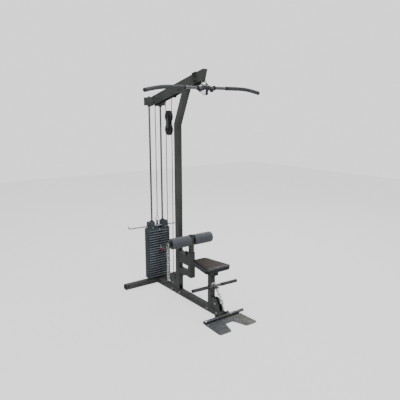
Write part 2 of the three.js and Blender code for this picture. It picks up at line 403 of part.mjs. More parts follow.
// ---------------------------------------------------------------- cables
{
  const aB = Math.atan(BOOM_SLOPE) * 180 / Math.PI;
  // upper cable: front pulley, along the boom, middle pulley, block, rear pulleys
  const up = [[0, LAT_CABLE_Y, C_FRONT[1] - 5],
    ...arc(...C_FRONT, GROOVE_R, 180, 90 - aB, 8),
    ...arc(...C_MID, GROOVE_R, 90 - aB, 0, 6),
    ...arc(BLOCK_Y, BLOCK_Z1, BLOCK_GROOVE_R, 180, 360, 10).map((p) => p),
    ...arc(...C_BLK, GROOVE_R, 180, 90 - aB, 6),
    ...arc(...C_STK, GROOVE_R, 90 - aB, 0, 6)];
  put('upper_cable', sweep(up, CABLE_R), cableM);
  put('stack_cable', cyl('z', TOP_Z + 112, C_STK[1] - 0.5, 0, 400, CABLE_R, 8), cableM);
  const lo = [[0, 202, 61], ...arc(BLOCK_Y, BLOCK_Z2, BLOCK_GROOVE_R, 0, 180, 10),
    ...arc(...BASE_C, BASE_GROOVE, 0, -90, 6), [0, LOW_C[0], LOW_C[1] - GROOVE_R], [0, LOW_C[0] - 16, LOW_C[1] - GROOVE_R + 1], [0, -652, 71]];
  put('lower_cable', sweep(lo, CABLE_R), cableM);
}

export default root;
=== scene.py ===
# Looks for the lat pulldown machine: meshes, materials, light and camera over the fixed CAD frame.
import math, random
import bpy, bmesh
from mathutils import Vector, Matrix


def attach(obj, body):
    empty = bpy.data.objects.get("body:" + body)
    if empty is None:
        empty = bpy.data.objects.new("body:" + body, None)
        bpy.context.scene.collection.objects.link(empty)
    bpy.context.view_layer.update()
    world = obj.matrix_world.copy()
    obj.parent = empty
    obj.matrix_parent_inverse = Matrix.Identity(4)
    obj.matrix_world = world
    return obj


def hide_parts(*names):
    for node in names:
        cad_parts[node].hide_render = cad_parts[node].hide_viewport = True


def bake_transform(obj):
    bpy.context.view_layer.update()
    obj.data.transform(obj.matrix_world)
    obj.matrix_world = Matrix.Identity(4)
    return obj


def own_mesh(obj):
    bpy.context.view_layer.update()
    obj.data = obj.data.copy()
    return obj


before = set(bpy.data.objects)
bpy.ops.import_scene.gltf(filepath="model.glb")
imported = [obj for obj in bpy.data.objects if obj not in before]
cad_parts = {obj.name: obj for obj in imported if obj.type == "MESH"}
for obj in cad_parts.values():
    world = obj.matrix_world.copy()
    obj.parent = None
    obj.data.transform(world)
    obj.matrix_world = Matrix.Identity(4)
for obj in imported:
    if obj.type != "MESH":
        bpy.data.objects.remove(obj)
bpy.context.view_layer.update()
random.seed(7)
rad = math.radians


def L(x, y, z):
    """layout millimetres (upright at the origin) to row metres"""
    return Vector((x / 1000, (y + 232.5) / 1000, z / 1000))


# ------------------------------------------------------------------ camera
yaw, pitch, roll = rad(36.31), rad(10.97), rad(-0.13)
F = Vector((math.sin(yaw) * math.cos(pitch), math.cos(yaw) * math.cos(pitch), -math.sin(pitch)))
R0 = Vector((math.cos(yaw), -math.sin(yaw), 0)); U0 = R0.cross(F)
Rv = R0 * math.cos(roll) + U0 * math.sin(roll); Uv = -R0 * math.sin(roll) + U0 * math.cos(roll)
cd = bpy.data.cameras.new("camera"); cd.lens = 40.16; cd.sensor_width = 36; cd.clip_end = 60
cam = bpy.data.objects.new("camera", cd); bpy.context.scene.collection.objects.link(cam)
m = Matrix.Identity(4)
for i in range(3):
    m[i][0], m[i][1], m[i][2], m[i][3] = Rv[i], Uv[i], -F[i], (-2.301, -3.2425, 1.746)[i]
cam.matrix_world = m
bpy.context.scene.camera = cam

# ------------------------------------------------------------------ light and floor
LIGHT = 0.72
world = bpy.data.worlds.new("studio"); bpy.context.scene.world = world; world.use_nodes = True
wt = world.node_tree; bg = wt.nodes["Background"]
bg.inputs[0].default_value = (0.95, 0.97, 1.0, 1); bg.inputs[1].default_value = LIGHT * 0.62
# the sky the camera sees is a clean white sweep; what lights the machine is a dimmer one
seen = wt.nodes.new("ShaderNodeBackground"); seen.inputs[0].default_value = (1, 1, 1, 1); seen.inputs[1].default_value = 1.45
lp = wt.nodes.new("ShaderNodeLightPath"); mx = wt.nodes.new("ShaderNodeMixShader")
wt.links.new(lp.outputs["Is Camera Ray"], mx.inputs[0]); wt.links.new(bg.outputs[0], mx.inputs[1]); wt.links.new(seen.outputs[0], mx.inputs[2])
wt.links.new(mx.outputs[0], wt.nodes["World Output"].inputs["Surface"])


def area(name, loc, target, size, power, color=(1, 1, 1)):
    d = bpy.data.lights.new(name, "AREA"); d.shape = "RECTANGLE"; d.size, d.size_y = size; d.energy = power * LIGHT; d.color = color
    o = bpy.data.objects.new(name, d); bpy.context.scene.collection.objects.link(o)
    o.location = loc
    o.rotation_euler = (Vector(target) - Vector(loc)).to_track_quat("-Z", "Y").to_euler()
    return o


area("key", (-1.2, -4.2, 4.2), (0, 0, 0.9), (2.6, 2.0), 175, (1.0, 0.985, 0.96))
area("fill", (-4.4, 0.6, 2.6), (0, 0.1, 1.0), (2.4, 2.4), 42, (0.93, 0.96, 1.0))
area("rim", (3.4, 1.8, 3.4), (0, 0, 1.0), (2.0, 2.0), 70)
area("top", (0.2, 0.2, 5.0), (0, 0, 0), (3.0, 3.0), 90)


# ------------------------------------------------------------------ materials
class N:
    """a small builder for node materials"""

    def __init__(s, name):
        s.m = bpy.data.materials.new(name); s.m.use_nodes = True
        s.t = s.m.node_tree; s.b = s.t.nodes["Principled BSDF"]
        s.tc = s.t.nodes.new("ShaderNodeTexCoord")

    def n(s, kind, **k):
        q = s.t.nodes.new(kind)
        for a, b in k.items():
            setattr(q, a, b)
        return q

    def link(s, a, b):
        s.t.links.new(a, b)

    def noise(s, scale, detail=3.0, rough=0.5, stretch=None):
        q = s.n("ShaderNodeTexNoise")
        q.inputs["Scale"].default_value = scale; q.inputs["Detail"].default_value = detail; q.inputs["Roughness"].default_value = rough
        src = s.tc.outputs["Object"]
        if stretch:
            mp = s.n("ShaderNodeMapping"); mp.inputs["Scale"].default_value = stretch
            s.link(src, mp.inputs["Vector"]); src = mp.outputs["Vector"]
        s.link(src, q.inputs["Vector"])
        return q.outputs["Fac"]

    def ramp(s, fac, stops):
        q = s.n("ShaderNodeValToRGB")
        e = q.color_ramp.elements
        while len(e) < len(stops):
            e.new(0.5)
        for i, (p, c) in enumerate(stops):
            e[i].position = p; e[i].color = c if len(c) == 4 else (*c, 1)
        s.link(fac, q.inputs["Fac"])
        return q.outputs["Color"]

    def mix(s, fac, a, b, mode="MIX"):
        q = s.n("ShaderNodeMix", data_type="RGBA", blend_type=mode)
        for sock, v in ((q.inputs[0], fac), (q.inputs[6], a), (q.inputs[7], b)):
            if hasattr(v, "is_output") or hasattr(v, "links"):
                s.link(v, sock)
            elif isinstance(v, (int, float)):
                sock.default_value = v
            else:
                sock.default_value = (*v, 1) if len(v) == 3 else v
        return q.outputs[2]

    def rng(s, fac, a, b, lo=0.3, hi=0.7):
        q = s.n("ShaderNodeMapRange")
        q.inputs["From Min"].default_value = lo; q.inputs["From Max"].default_value = hi
        q.inputs["To Min"].default_value = a; q.inputs["To Max"].default_value = b
        s.link(fac, q.inputs["Value"])
        return q.outputs["Result"]

    def bump(s, fac, strength, dist=0.001, prev=None):
        q = s.n("ShaderNodeBump"); q.inputs["Strength"].default_value = strength; q.inputs["Distance"].default_value = dist
        s.link(fac, q.inputs["Height"])
        if prev is not None:
            s.link(prev, q.inputs["Normal"])
        return q.outputs["Normal"]

    def out(s, color=None, rough=None, normal=None, metal=None, **fixed):
        for key, v in (("Base Color", color), ("Roughness", rough), ("Metallic", metal)):
            if v is None:
                continue
            if hasattr(v, "links"):
                s.link(v, s.b.inputs[key])
            else:
                s.b.inputs[key].default_value = v if isinstance(v, (int, float)) else (*v, 1)
        if normal is not None:
            s.link(normal, s.b.inputs["Normal"])
        for k, v in fixed.items():
            s.b.inputs[k.replace("_", " ")].default_value = v
        return s.m


def m_paint(name, c, wear=0.5):
    s = N(name)
    big = s.noise(3.2, 4, 0.6); fine = s.noise(240, 3, 0.6); dirt = s.noise(22, 5, 0.62)
    dark = tuple(v * 0.80 for v in c); light = tuple(v * 1.22 for v in c)
    col = s.mix(s.rng(big, 0, 1, 0.35, 0.65), dark, light)
    col = s.mix(s.rng(dirt, 0, 0.22, 0.58, 0.75), col, (c[0] * 1.4, c[1] * 1.36, c[2] * 1.25))
    geo = s.n("ShaderNodeNewGeometry")
    edge = s.rng(geo.outputs["Pointiness"], 0, wear, 0.535, 0.60)
    scuff = s.n("ShaderNodeMath", operation="MULTIPLY"); s.link(edge, scuff.inputs[0]); s.link(s.rng(s.noise(60, 4), 0, 1, 0.45, 0.6), scuff.inputs[1])
    col = s.mix(scuff.outputs[0], col, (0.13, 0.13, 0.125))
    rough = s.rng(dirt, 0.33, 0.52)
    return s.out(col, rough, s.bump(fine, 0.16, 0.0006), IOR=1.48)


def m_chrome(name, c=(0.72, 0.73, 0.75), r=(0.10, 0.26), stretch=(1, 1, 0.06)):
    s = N(name)
    a = s.noise(70, 4, 0.6, stretch); b = s.noise(9, 3)
    col = s.mix(s.rng(b, 0, 1), tuple(v * 0.72 for v in c), c)
    return s.out(col, s.rng(a, r[0], r[1]), s.bump(a, 0.05, 0.0004), 1.0)


def m_iron(name, k=1.0, rough=(0.34, 0.56)):
    s = N(name)
    big = s.noise(9, 4); fine = s.noise(420, 4, 0.65)
    col = s.mix(s.rng(big, 0, 1), (0.018 * k, 0.023 * k, 0.027 * k), (0.036 * k, 0.043 * k, 0.050 * k))
    # convex edges mix to a light grey: a painted highlight on the rims
    geo = s.n("ShaderNodeNewGeometry")
    col = s.mix(s.rng(geo.outputs["Pointiness"], 0, 0.75, 0.515, 0.60), col, (0.12, 0.13, 0.14))
    return s.out(col, s.rng(fine, *rough), s.bump(fine, 0.32, 0.0008), 0.25)


def m_plastic(name, c, r=(0.34, 0.5), bump=0.1, scale=300, **k):
    s = N(name)
    a = s.noise(scale, 3); b = s.noise(14, 3)
    col = s.mix(s.rng(b, 0, 1), tuple(v * 0.8 for v in c), tuple(v * 1.2 for v in c))
    return s.out(col, s.rng(b, *r), s.bump(a, bump, 0.0005), **k)


def m_foam(name):
    s = N(name)
    fine = s.noise(520, 4, 0.7); mid = s.noise(45, 4); big = s.noise(6, 3)
    col = s.mix(s.rng(big, 0, 1), (0.072, 0.080, 0.094), (0.100, 0.110, 0.126))
    col = s.mix(s.rng(mid, 0, 0.4, 0.45, 0.7), col, (0.050, 0.055, 0.066))
    nb = s.bump(fine, 0.35, 0.0007); nb = s.bump(mid, 0.22, 0.0025, nb)
    return s.out(col, s.rng(mid, 0.50, 0.68), nb, Sheen_Weight=0.25, Sheen_Roughness=0.5)


def m_vinyl(name, c0, c1, rough=(0.42, 0.56), spec=0.32, coat=0.05):
    s = N(name)
    v = s.n("ShaderNodeTexVoronoi", feature="DISTANCE_TO_EDGE"); v.inputs["Scale"].default_value = 430
    s.link(s.tc.outputs["Object"], v.inputs["Vector"])
    grain = s.rng(v.outputs["Distance"], 0, 1, 0.0, 0.18); big = s.noise(12, 4); wr = s.noise(28, 3, 0.5, (1, 0.35, 1))
    col = s.mix(s.rng(big, 0, 1), c0, c1)
    nb = s.bump(grain, 0.30, 0.0006); nb = s.bump(wr, 0.28, 0.004, nb)
    return s.out(col, s.rng(big, *rough), nb, Coat_Weight=coat, Coat_Roughness=0.3, Specular_IOR_Level=spec)


def m_tread(name):
    s = N(name)
    big = s.noise(7, 4, 0.6); fine = s.noise(180, 4, 0.7); patch = s.noise(24, 5, 0.65)
    sx = s.n("ShaderNodeSeparateXYZ"); s.link(s.tc.outputs["Object"], sx.inputs[0])
    wing = s.rng(sx.outputs["X"], 0, 1, -0.10, 0.16)
    col = s.mix(s.rng(big, 0, 1, 0.38, 0.62), s.mix(wing, (0.060, 0.072, 0.086), (0.105, 0.103, 0.082)), s.mix(wing, (0.088, 0.100, 0.114), (0.150, 0.147, 0.120)))
    col = s.mix(s.rng(patch, 0, 0.85, 0.47, 0.66), col, (0.030, 0.032, 0.034))
    # raised edges of the pattern mix to a light grey: a painted highlight
    geo = s.n("ShaderNodeNewGeometry")
    col = s.mix(s.rng(geo.outputs["Pointiness"], 0, 0.6, 0.53, 0.60), col, (0.30, 0.31, 0.30))
    return s.out(col, s.rng(patch, 0.34, 0.58), s.bump(fine, 0.25, 0.0006), 0.55)


M = {}
M["paint"] = m_paint("paint", (0.063, 0.068, 0.062))
M["paint_dark"] = m_paint("paint_dark", (0.016, 0.018, 0.017), 0.3)
M["paint_mid"] = m_paint("paint_bracket", (0.075, 0.082, 0.076), 0.3)
M["chrome"] = m_chrome("chrome_rod", (0.34, 0.325, 0.31), (0.20, 0.36))
M["link"] = m_chrome("zinc_link", (0.86, 0.88, 0.87), (0.20, 0.36), (1, 1, 1))
M["bright"] = m_plastic("bright_coat", (0.86, 0.88, 0.89), (0.22, 0.34), 0.05, 200)
M["bolt"] = m_chrome("zinc_bolt", (0.62, 0.63, 0.63), (0.25, 0.42), (1, 1, 1))
M["barsteel"] = m_chrome("bar_plating", (0.33, 0.33, 0.325), (0.22, 0.38), (0.06, 1, 1))
M["iron"] = m_iron("cast_iron", 0.34)
# copy of the plates' iron fifteen times lighter for their upper rims: a painted highlight
M["iron_edge"] = m_iron("cast_iron_painted_highlight", 15.0, (0.24, 0.40))
M["iron_head"] = m_iron("cast_iron_head", 2.3, (0.30, 0.48))
M["nylon"] = m_plastic("nylon", (0.018, 0.018, 0.020))
M["grip"] = m_plastic("grip_rubber", (0.062, 0.067, 0.071), (0.30, 0.44), 0.3, 420)
M["black"] = m_plastic("black_plastic", (0.012, 0.012, 0.014), (0.38, 0.52))
M["rubber"] = m_plastic("rubber", (0.014, 0.014, 0.015), (0.62, 0.8), 0.3, 220)
M["foam"] = m_foam("foam")
M["vinyl_top"] = m_vinyl("vinyl_brown", (0.033, 0.0225, 0.0165), (0.047, 0.033, 0.0245))
M["vinyl_side"] = m_vinyl("vinyl_black", (0.008, 0.009, 0.011), (0.014, 0.015, 0.018), (0.26, 0.40), 0.4, 0.15)
# lighter black vinyl for the piping on the seat's top rim: a painted highlight along the edge
M["rim_highlight_vinyl"] = m_vinyl("piping_vinyl_painted_highlight", (0.060, 0.062, 0.066), (0.095, 0.098, 0.104), (0.22, 0.34), 0.55, 0.35)
M["hub"] = m_plastic("hub_coat", (0.040, 0.046, 0.054), (0.28, 0.42), 0.12, 260)
M["violet"] = m_plastic("hub_bumper", (0.026, 0.020, 0.060), (0.30, 0.45), 0.1, 260)
M["red"] = m_plastic("red_knob", (0.15, 0.010, 0.036), (0.20, 0.32), 0.04, 200, Coat_Weight=0.5, Coat_Roughness=0.12)
M["cable"] = m_chrome("wire_rope", (0.085, 0.088, 0.09), (0.34, 0.5), (1, 1, 1))
M["tread"] = m_tread("tread_plate")
M["sleeve"] = m_chrome("hinge_sleeve", (0.34, 0.34, 0.38), (0.14, 0.24), (0.1, 1, 1))
M["weld"] = m_paint("weld_bead", (0.050, 0.053, 0.050), 0.1)
M["wood"] = m_plastic("seat_board", (0.016, 0.014, 0.012), (0.6, 0.75), 0.4, 90)


# ------------------------------------------------------------------ mesh helpers
def finish_obj(name, me, mat, body, angle=40, nodes=()):
    for p in me.polygons:
        p.use_smooth = True
    me.set_sharp_from_angle(angle=rad(angle))
    o = bpy.data.objects.new(name, me); bpy.context.scene.collection.objects.link(o)
    if mat:
        o.data.materials.append(M[mat])
    if body:
        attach(o, body)
    if nodes:
        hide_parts(*nodes)
    return o


def from_bm(bm, name):
    bmesh.ops.recalc_face_normals(bm, faces=bm.faces)
    me = bpy.data.meshes.new(name); bm.to_mesh(me); bm.free()
    return me


def basis(axis):
    a = Vector(axis).normalized()
    h = Vector((0, 0, 1)) if abs(a.z) < 0.9 else Vector((1, 0, 0))
    u = a.cross(h).normalized()
    return a, u, a.cross(u)


def lathe_bm(bm, profile, origin, axis, segs=48, closed=False):
    a, u, v = basis(axis); o = Vector(origin); rings = []
    for r, h in profile:
        if r < 1e-7:
            rings.append([bm.verts.new(o + a * h)])
        else:
            rings.append([bm.verts.new(o + a * h + (u * math.cos(2 * math.pi * i / segs) + v * math.sin(2 * math.pi * i / segs)) * r) for i in range(segs)])
    pairs = list(zip(rings, rings[1:])) + ([(rings[-1], rings[0])] if closed else [])
    for p, q in pairs:
        for i in range(segs):
            j = (i + 1) % segs
            if len(p) == 1 and len(q) == 1:
                continue
            if len(p) == 1:
                bm.faces.new((p[0], q[i], q[j]))
            elif len(q) == 1:
                bm.faces.new((p[i], q[0], p[j]))
            else:
                bm.faces.new((p[i], q[i], q[j], p[j]))
    if not closed:
        for r in (rings[0], rings[-1]):
            if len(r) > 1:
                bm.faces.new(r)


def lathe(name, profile, origin, axis, mat, body, segs=48, closed=False, angle=40, nodes=()):
    bm = bmesh.new(); lathe_bm(bm, [(r / 1000, h / 1000) for r, h in profile], origin, axis, segs, closed)
    return finish_obj(name, from_bm(bm, name), mat, body, angle, nodes)


def sweep_bm(bm, pts, radius, segs=12, closed=False, caps=True, squash=None):
    pts = [Vector(p) for p in pts]; n = len(pts)
    rad_of = radius if callable(radius) else (lambda i: radius)
    tang = []
    for i in range(n):
        a = pts[(i - 1) % n] if closed or i else pts[0]
        b = pts[(i + 1) % n] if closed or i < n - 1 else pts[-1]
        tang.append((b - a).normalized())
    _, u, _ = basis(tang[0]); rings = []
    for i in range(n):
        u = (u - tang[i] * u.dot(tang[i])).normalized(); v = tang[i].cross(u); r = rad_of(i)
        rings.append([bm.verts.new(pts[i] + (u * math.cos(2 * math.pi * k / segs) + v * math.sin(2 * math.pi * k / segs)) * r) for k in range(segs)])
    m2 = n if closed else n - 1
    off = 0
    if closed:  # match the frame's twist where the loop meets itself
        d = [(rings[0][k].co - rings[-1][0].co).length for k in range(segs)]
        off = d.index(min(d))
    for i in range(m2):
        a, b = rings[i], rings[(i + 1) % n]
        o2 = off if closed and i == n - 1 else 0
        for k in range(segs):
            k2 = (k + 1) % segs
            bm.faces.new((a[k], a[k2], b[(k2 + o2) % segs], b[(k + o2) % segs]))
    if caps and not closed:
        bm.faces.new(rings[0]); bm.faces.new(rings[-1])


def sweep(name, pts, radius, mat, body, segs=12, closed=False, angle=50, nodes=()):
    bm = bmesh.new(); sweep_bm(bm, pts, radius, segs, closed)
    return finish_obj(name, from_bm(bm, name), mat, body, angle, nodes)


def smooth_path(pts, per=8):
    """Catmull-Rom through the points"""
    p = [Vector(q) for q in pts]; out = []
    for i in range(len(p) - 1):
        a, b, c, d = p[max(0, i - 1)], p[i], p[i + 1], p[min(len(p) - 1, i + 2)]
        for k in range(per):
            t = k / per
            out.append(0.5 * ((2 * b) + (c - a) * t + (2 * a - 5 * b + 4 * c - d) * t * t + (3 * b - a - 3 * c + d) * t ** 3))
    return out + [p[-1]]


def box_bm(bm, lo, hi, bevel=0.0, segs=2):
    g = bmesh.ops.create_cube(bm, size=1.0)
    lo, hi = Vector(lo), Vector(hi); c = (lo + hi) / 2; s = hi - lo
    for v in g["verts"]:
        v.co = Vector((c.x + v.co.x * s.x, c.y + v.co.y * s.y, c.z + v.co.z * s.z))
    if bevel:
        edges = {e for v in g["verts"] for e in v.link_edges}
        bmesh.ops.bevel(bm, geom=list(edges), offset=bevel, segments=segs, affect="EDGES", profile=0.5)


def block(name, lo, hi, mat, body, bevel=0.002, segs=3, nodes=()):
    bm = bmesh.new(); box_bm(bm, lo, hi, bevel, segs)
    return finish_obj(name, from_bm(bm, name), mat, body, 50, nodes)


def bolt_bm(bm, pos, axis, af=17.0, h=7.0, washer=True, nut=False):
    """hexagon head with a chamfer on a washer"""
    a, u, v = basis(axis); o = Vector(pos); z = 0.0
    if washer:
        lathe_bm(bm, [(0, 0), (af * 0.70 / 1000, 0), (af * 0.70 / 1000, 0.0013), (af * 0.66 / 1000, 0.0017), (0, 0.0017)], o, a, 24)
        z = 0.0017
    R = af / 2 / math.cos(math.pi / 6) / 1000; rings = []
    for rr, hh in ((R, z), (R, z + h * 0.78 / 1000), (R * 0.84, z + h / 1000), (R * 0.5, z + h / 1000)):
        rings.append([bm.verts.new(o + a * hh + (u * math.cos(math.pi / 3 * i) + v * math.sin(math.pi / 3 * i)) * rr) for i in range(6)])
    for p, q in zip(rings, rings[1:]):
        for i in range(6):
            bm.faces.new((p[i], p[(i + 1) % 6], q[(i + 1) % 6], q[i]))
    bm.faces.new(rings[-1]); bm.faces.new(list(reversed(rings[0])))
    if nut:
        lathe_bm(bm, [(0, 0), (af * 0.30 / 1000, 0), (af * 0.30 / 1000, (h + 4) / 1000 + z), (af * 0.24 / 1000, (h + 5) / 1000 + z), (0, (h + 5) / 1000 + z)], o, a, 16)


def bolts(name, items, body, mat="bolt"):
    bm = bmesh.new()
    for it in items:
        bolt_bm(bm, *it)
    return finish_obj(name, from_bm(bm, name), mat, body, 30)


def weld_bm(bm, a, b, r=0.0028):
    """rippled fillet bead from a to b"""
    a, b = Vector(a), Vector(b); n = max(6, int((b - a).length / 0.0035))
    pts = [a.lerp(b, i / n) for i in range(n + 1)]
    sweep_bm(bm, pts, lambda i: r * (0.86 + 0.16 * (i % 2) + 0.05 * math.sin(i * 1.7)), 8)


def welds(name, segs, body):
    bm = bmesh.new()
    for s in segs:
        weld_bm(bm, *s)
    return finish_obj(name, from_bm(bm, name), "weld", body, 70)


def square_weld(c, hx, hy, axis="z", r=0.0028):
    """four beads round a rectangle of half sizes hx, hy about c, square to axis"""
    c = Vector(c)
    e = {"z": (Vector((1, 0, 0)), Vector((0, 1, 0))), "y": (Vector((1, 0, 0)), Vector((0, 0, 1))), "x": (Vector((0, 1, 0)), Vector((0, 0, 1)))}[axis]
    q = [c + e[0] * sx * hx + e[1] * sy * hy for sx, sy in ((-1, -1), (1, -1), (1, 1), (-1, 1))]
    return [(q[i], q[(i + 1) % 4], r) for i in range(4)]


def refine(node, mat, body, rules=(), angle=40, dissolve=True):
    """a clean copy of a CAD solid with rounded edges where a rule picks them; stands for the node"""
    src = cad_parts[node]
    bm = bmesh.new(); bm.from_mesh(src.data); bm.transform(src.matrix_world)
    bmesh.ops.remove_doubles(bm, verts=bm.verts, dist=1e-5)
    if dissolve:
        bmesh.ops.dissolve_limit(bm, angle_limit=rad(1.2), verts=bm.verts, edges=bm.edges)
    for rule in rules:
        pick, width, segs = rule[:3]
        es = [e for e in bm.edges if len(e.link_faces) == 2 and e.calc_face_angle(0) > rad(30) and pick(e, e.verts[0].co, e.verts[1].co)]
        if es:
            bmesh.ops.bevel(bm, geom=es, offset=width, segments=segs, affect="EDGES", profile=0.5, clamp_overlap=True, material=1 if len(rule) > 3 else -1)
    bmesh.ops.triangulate(bm, faces=[f for f in bm.faces if len(f.verts) > 4])
    o = finish_obj("fin_" + node, from_bm(bm, "fin_" + node), mat, body, angle, (node,))
    for rule in rules:
        if len(rule) > 3:
            o.data.materials.append(M[rule[3]])
    w = o.modifiers.new("wn", "WEIGHTED_NORMAL"); w.keep_sharp = True
    return o


def long_edges(minlen):
    return lambda e, a, b: e.calc_length() > minlen


# ------------------------------------------------------------------ frame
T = 0.027
refine("base_beam", "paint", "frame")
refine("rear_cross_foot", "paint", "frame")
refine("upright", "paint", "frame", [(lambda e, a, b: e.calc_length() > 0.1 and abs(abs(a.x) - T) < 1e-4 and abs(abs(b.x) - T) < 1e-4 and (a - b).normalized().cross(Vector((1, 0, 0))).length > .5, 0.004, 3)])


def boom_pick(e, a, b):
    if e.calc_length() < 0.04:
        return False
    if abs(abs(a.x) - T) < 1e-4 and abs(abs(b.x) - T) < 1e-4 and abs(a.x - b.x) < 1e-4:
        top = lambda p: 1.908 + (0.432 - (p.y - 0.2325)) * 0.2374
        return a.z > top(a) - 0.002 and b.z > top(b) - 0.002 or (a.y < -0.15 and b.y < -0.15)
    return abs(a.x) > 0.1075 and abs(b.x) > 0.1075 or (min(abs(a.x), abs(b.x)) > 0.03 and max(abs(a.x), abs(b.x)) > 0.1075 and max(a.y, b.y) > .6)


refine("boom", "paint", "frame", [(boom_pick, 0.0028, 3)])
refine("seat_post", "paint", "frame", [(lambda e, a, b: e.calc_length() > 0.1 and a.z > .39 and b.z > .39, 0.0012, 2)])
refine("thigh_sleeve", "paint", "frame", [(lambda e, a, b: e.calc_length() > 0.045 and max(abs(a.x), abs(b.x)) > 0.0225, 0.0025, 3)])
refine("thigh_post", "paint", "thigh_post")
refine("base_pulley_bracket", "paint_mid", "frame", [(long_edges(0.03), 0.001, 2)])
refine("low_pulley_bracket", "paint_mid", "frame", [(long_edges(0.02), 0.001, 2)])
refine("foot_hinge_bracket", "paint_mid", "frame", [(long_edges(0.05), 0.0015, 2)])
refine("block_bracket", "paint_mid", "block", [(long_edges(0.06), 0.001, 2)])
qb = max((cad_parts["block_bracket"].matrix_world @ v.co).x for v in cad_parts["block_bracket"].data.vertices) - 0.008
for s_, tg_ in ((-1, "left"), (1, "right")):
    bm = bmesh.new()
    x0_, x1_ = sorted((s_ * (qb + 0.0006), s_ * (qb + 0.0036)))
    box_bm(bm, (x0_, 0.3835 - 0.026, 1.6435), (x1_, 0.3835 + 0.026, 1.6755), 0.001, 1)
    finish_obj("block_mid_plate_" + tg_, from_bm(bm, "b"), "black", "block", 40)
refine("stack_cushion", "rubber", "frame", [(long_edges(0.03), 0.0015, 2)])

# end caps of the rear foot: moulded plugs with a domed face
for s, tag in ((-1, "left"), (1, "right")):
    bm = bmesh.new(); x0 = s * 0.3845
    lo = Vector((min(x0, x0 + s * 0.0065), 0.6118, 0.0003)); hi = Vector((max(x0, x0 + s * 0.0065), 0.6632, 0.0517))
    box_bm(bm, lo, hi, 0.003, 4)
    box_bm(bm, Vector((min(x0 + s * 0.004, x0 + s * 0.0120), 0.6165, 0.005)), Vector((max(x0 + s * 0.004, x0 + s * 0.0120), 0.6585, 0.047)), 0.0039, 4)
    finish_obj("foot_cap_" + tag, from_bm(bm, "cap"), "black", "frame", 50)
bolts("foot_bolts", [((-0.362, 0.6110, 0.036), (0, -1, 0), 13, 5), ((0.362, 0.6110, 0.036), (0, -1, 0), 13, 5)], "frame", "black")
bolts("rod_nuts", [((sx * 0.0635, 0.6375, 1.9012), (0, 0, 1), 24, 8, True, False) for sx in (-1, 1)], "frame", "black")

# welds: upright foot, seat post foot, sleeve arms, ears to boom, cross foot to beam
W = []
W += square_weld((0, 0.2325, 0.0548), 0.0275, 0.0275)
W += square_weld(L(0, -512, 54.8), 0.0245, 0.0245)
W += square_weld((0, 0.6108, 0.027), 0.0275, 0.0255, "y", 0.0024)
W += square_weld(L(0, -27.6, 395), 0.0235, 0.056, "y", 0.0024)
W += square_weld(L(0, -27.6, 252), 0.0235, 0.027, "y", 0.0024)
for s in (-1, 1):
    W += square_weld((s * 0.0275, 0.6395, 1.8625), 0.0228, 0.0382, "x", 0.0024)
welds("frame_welds", W, "frame")

# hardware on the long beam and on the feet of the posts
bolts("beam_bolts", [((-T, y, 0.027), (-1, 0, 0), 17, 7) for y in (0.3245, 0.1945, -0.2505, -0.3855)] + [((T, y, 0.027), (1, 0, 0), 17, 7) for y in (0.3245, 0.1945, -0.2505, -0.3855)], "frame")
bolts("bracket_bolts", [((s * 0.0205, y, z), (s, 0, 0), 11, 4.5) for s in (-1, 1) for y, z in ((0.275, 0.185), (0.275, 0.150), (0.395, 0.075))], "frame", "black")
bolts("pulley_bolts_base", [((s * 0.0253, 0.306, 0.101), (s, 0, 0), 17, 6) for s in (-1, 1)] + [((s * 0.0253, -0.3645, 0.110), (s, 0, 0), 17, 6) for s in (-1, 1)], "frame")
bolts("pulley_bolts_block", [((s * 0.0233, 0.3835, z), (s, 0, 0), 17, 6.5) for s in (-1, 1) for z in (1.719, 1.600)], "block", "black")

# boom hardware: pulley bolts through the side walls and the mounting bolts
CF, CM, CB, CS = (-0.0955, 2.02984), (0.2885, 1.9387), (0.4785, 1.8936), (0.5885, 1.8675)
bolts("boom_bolts", [((s * T, y, z), (s, 0, 0), 17, 6.5) for s in (-1, 1) for y, z in (CF, CM, CB, CS)], "frame", "paint_mid")
bolts("boom_bolts_head", [((s * T, L(0, y, 0).y, z / 1000), (s, 0, 0), 15, 5.5) for s in (-1, 1) for y, z in ((-62, 1958), (-112, 1972))], "frame", "black")
bm = bmesh.new()
for y, z in (CF, CM, CB, CS):      # pulley axles and spacers inside the channel
    lathe_bm(bm, [(0, -0.0229), (0.0063, -0.0229), (0.0063, 0.0229), (0, 0.0229)], (0, y, z), (1, 0, 0), 20)
    for s in (-1, 1):
        lathe_bm(bm, [(0.0064, s * 0.0153), (0.0105, s * 0.0153), (0.0105, s * 0.0228), (0.0064, s * 0.0228)], (0, y, z), (1, 0, 0), 20, True)
finish_obj("boom_axles", from_bm(bm, "axles"), "bolt", "frame", 40)

# ------------------------------------------------------------------ guide rods and stack
for s, tag in ((-1, "left"), (1, "right")):
    x = s * 0.0635
    lathe("rod_" + tag, [(0, 52.3), (8.6, 52.3), (9.5, 53.3), (9.5, 1873), (8.6, 1874), (0, 1874)], (x, 0.6375, 0), (0, 0, 1), "chrome", "frame", 40, nodes=("guide_rod_" + tag,))
    lathe("rod_collar_" + tag, [(9.9, 52.6), (17, 52.6), (17, 58), (15, 59.4), (9.9, 59.4)], (x, 0.6375, 0), (0, 0, 1), "bolt", "frame", 32, True)
    lathe("rod_upper_collar_" + tag, [(9.9, 1812), (16, 1812), (17, 1813.5), (17, 1822), (16, 1823.6), (9.9, 1823.6)], (x, 0.6375, 0), (0, 0, 1), "paint_mid", "frame", 32, True)
    lathe("bushing_" + tag, [(10.3, 660), (15.5, 660), (15.5, 662.3), (19.5, 662.3), (20.5, 663.4), (20.5, 667.4), (19.2, 669), (10.9, 669)], (x, 0.6375, 0), (0, 0, 1), "black", "stack", 36, True)


def plate_pick(e, a, b):
    # the long horizontal rims, top and bottom; the pin's bore and the slots stay crisp
    return e.calc_length() > 0.02 and abs(a.z - b.z) < 1e-5 and all(abs(p.x) > 0.118 or p.y < 0.598 or p.y > 0.680 for p in (a, b))


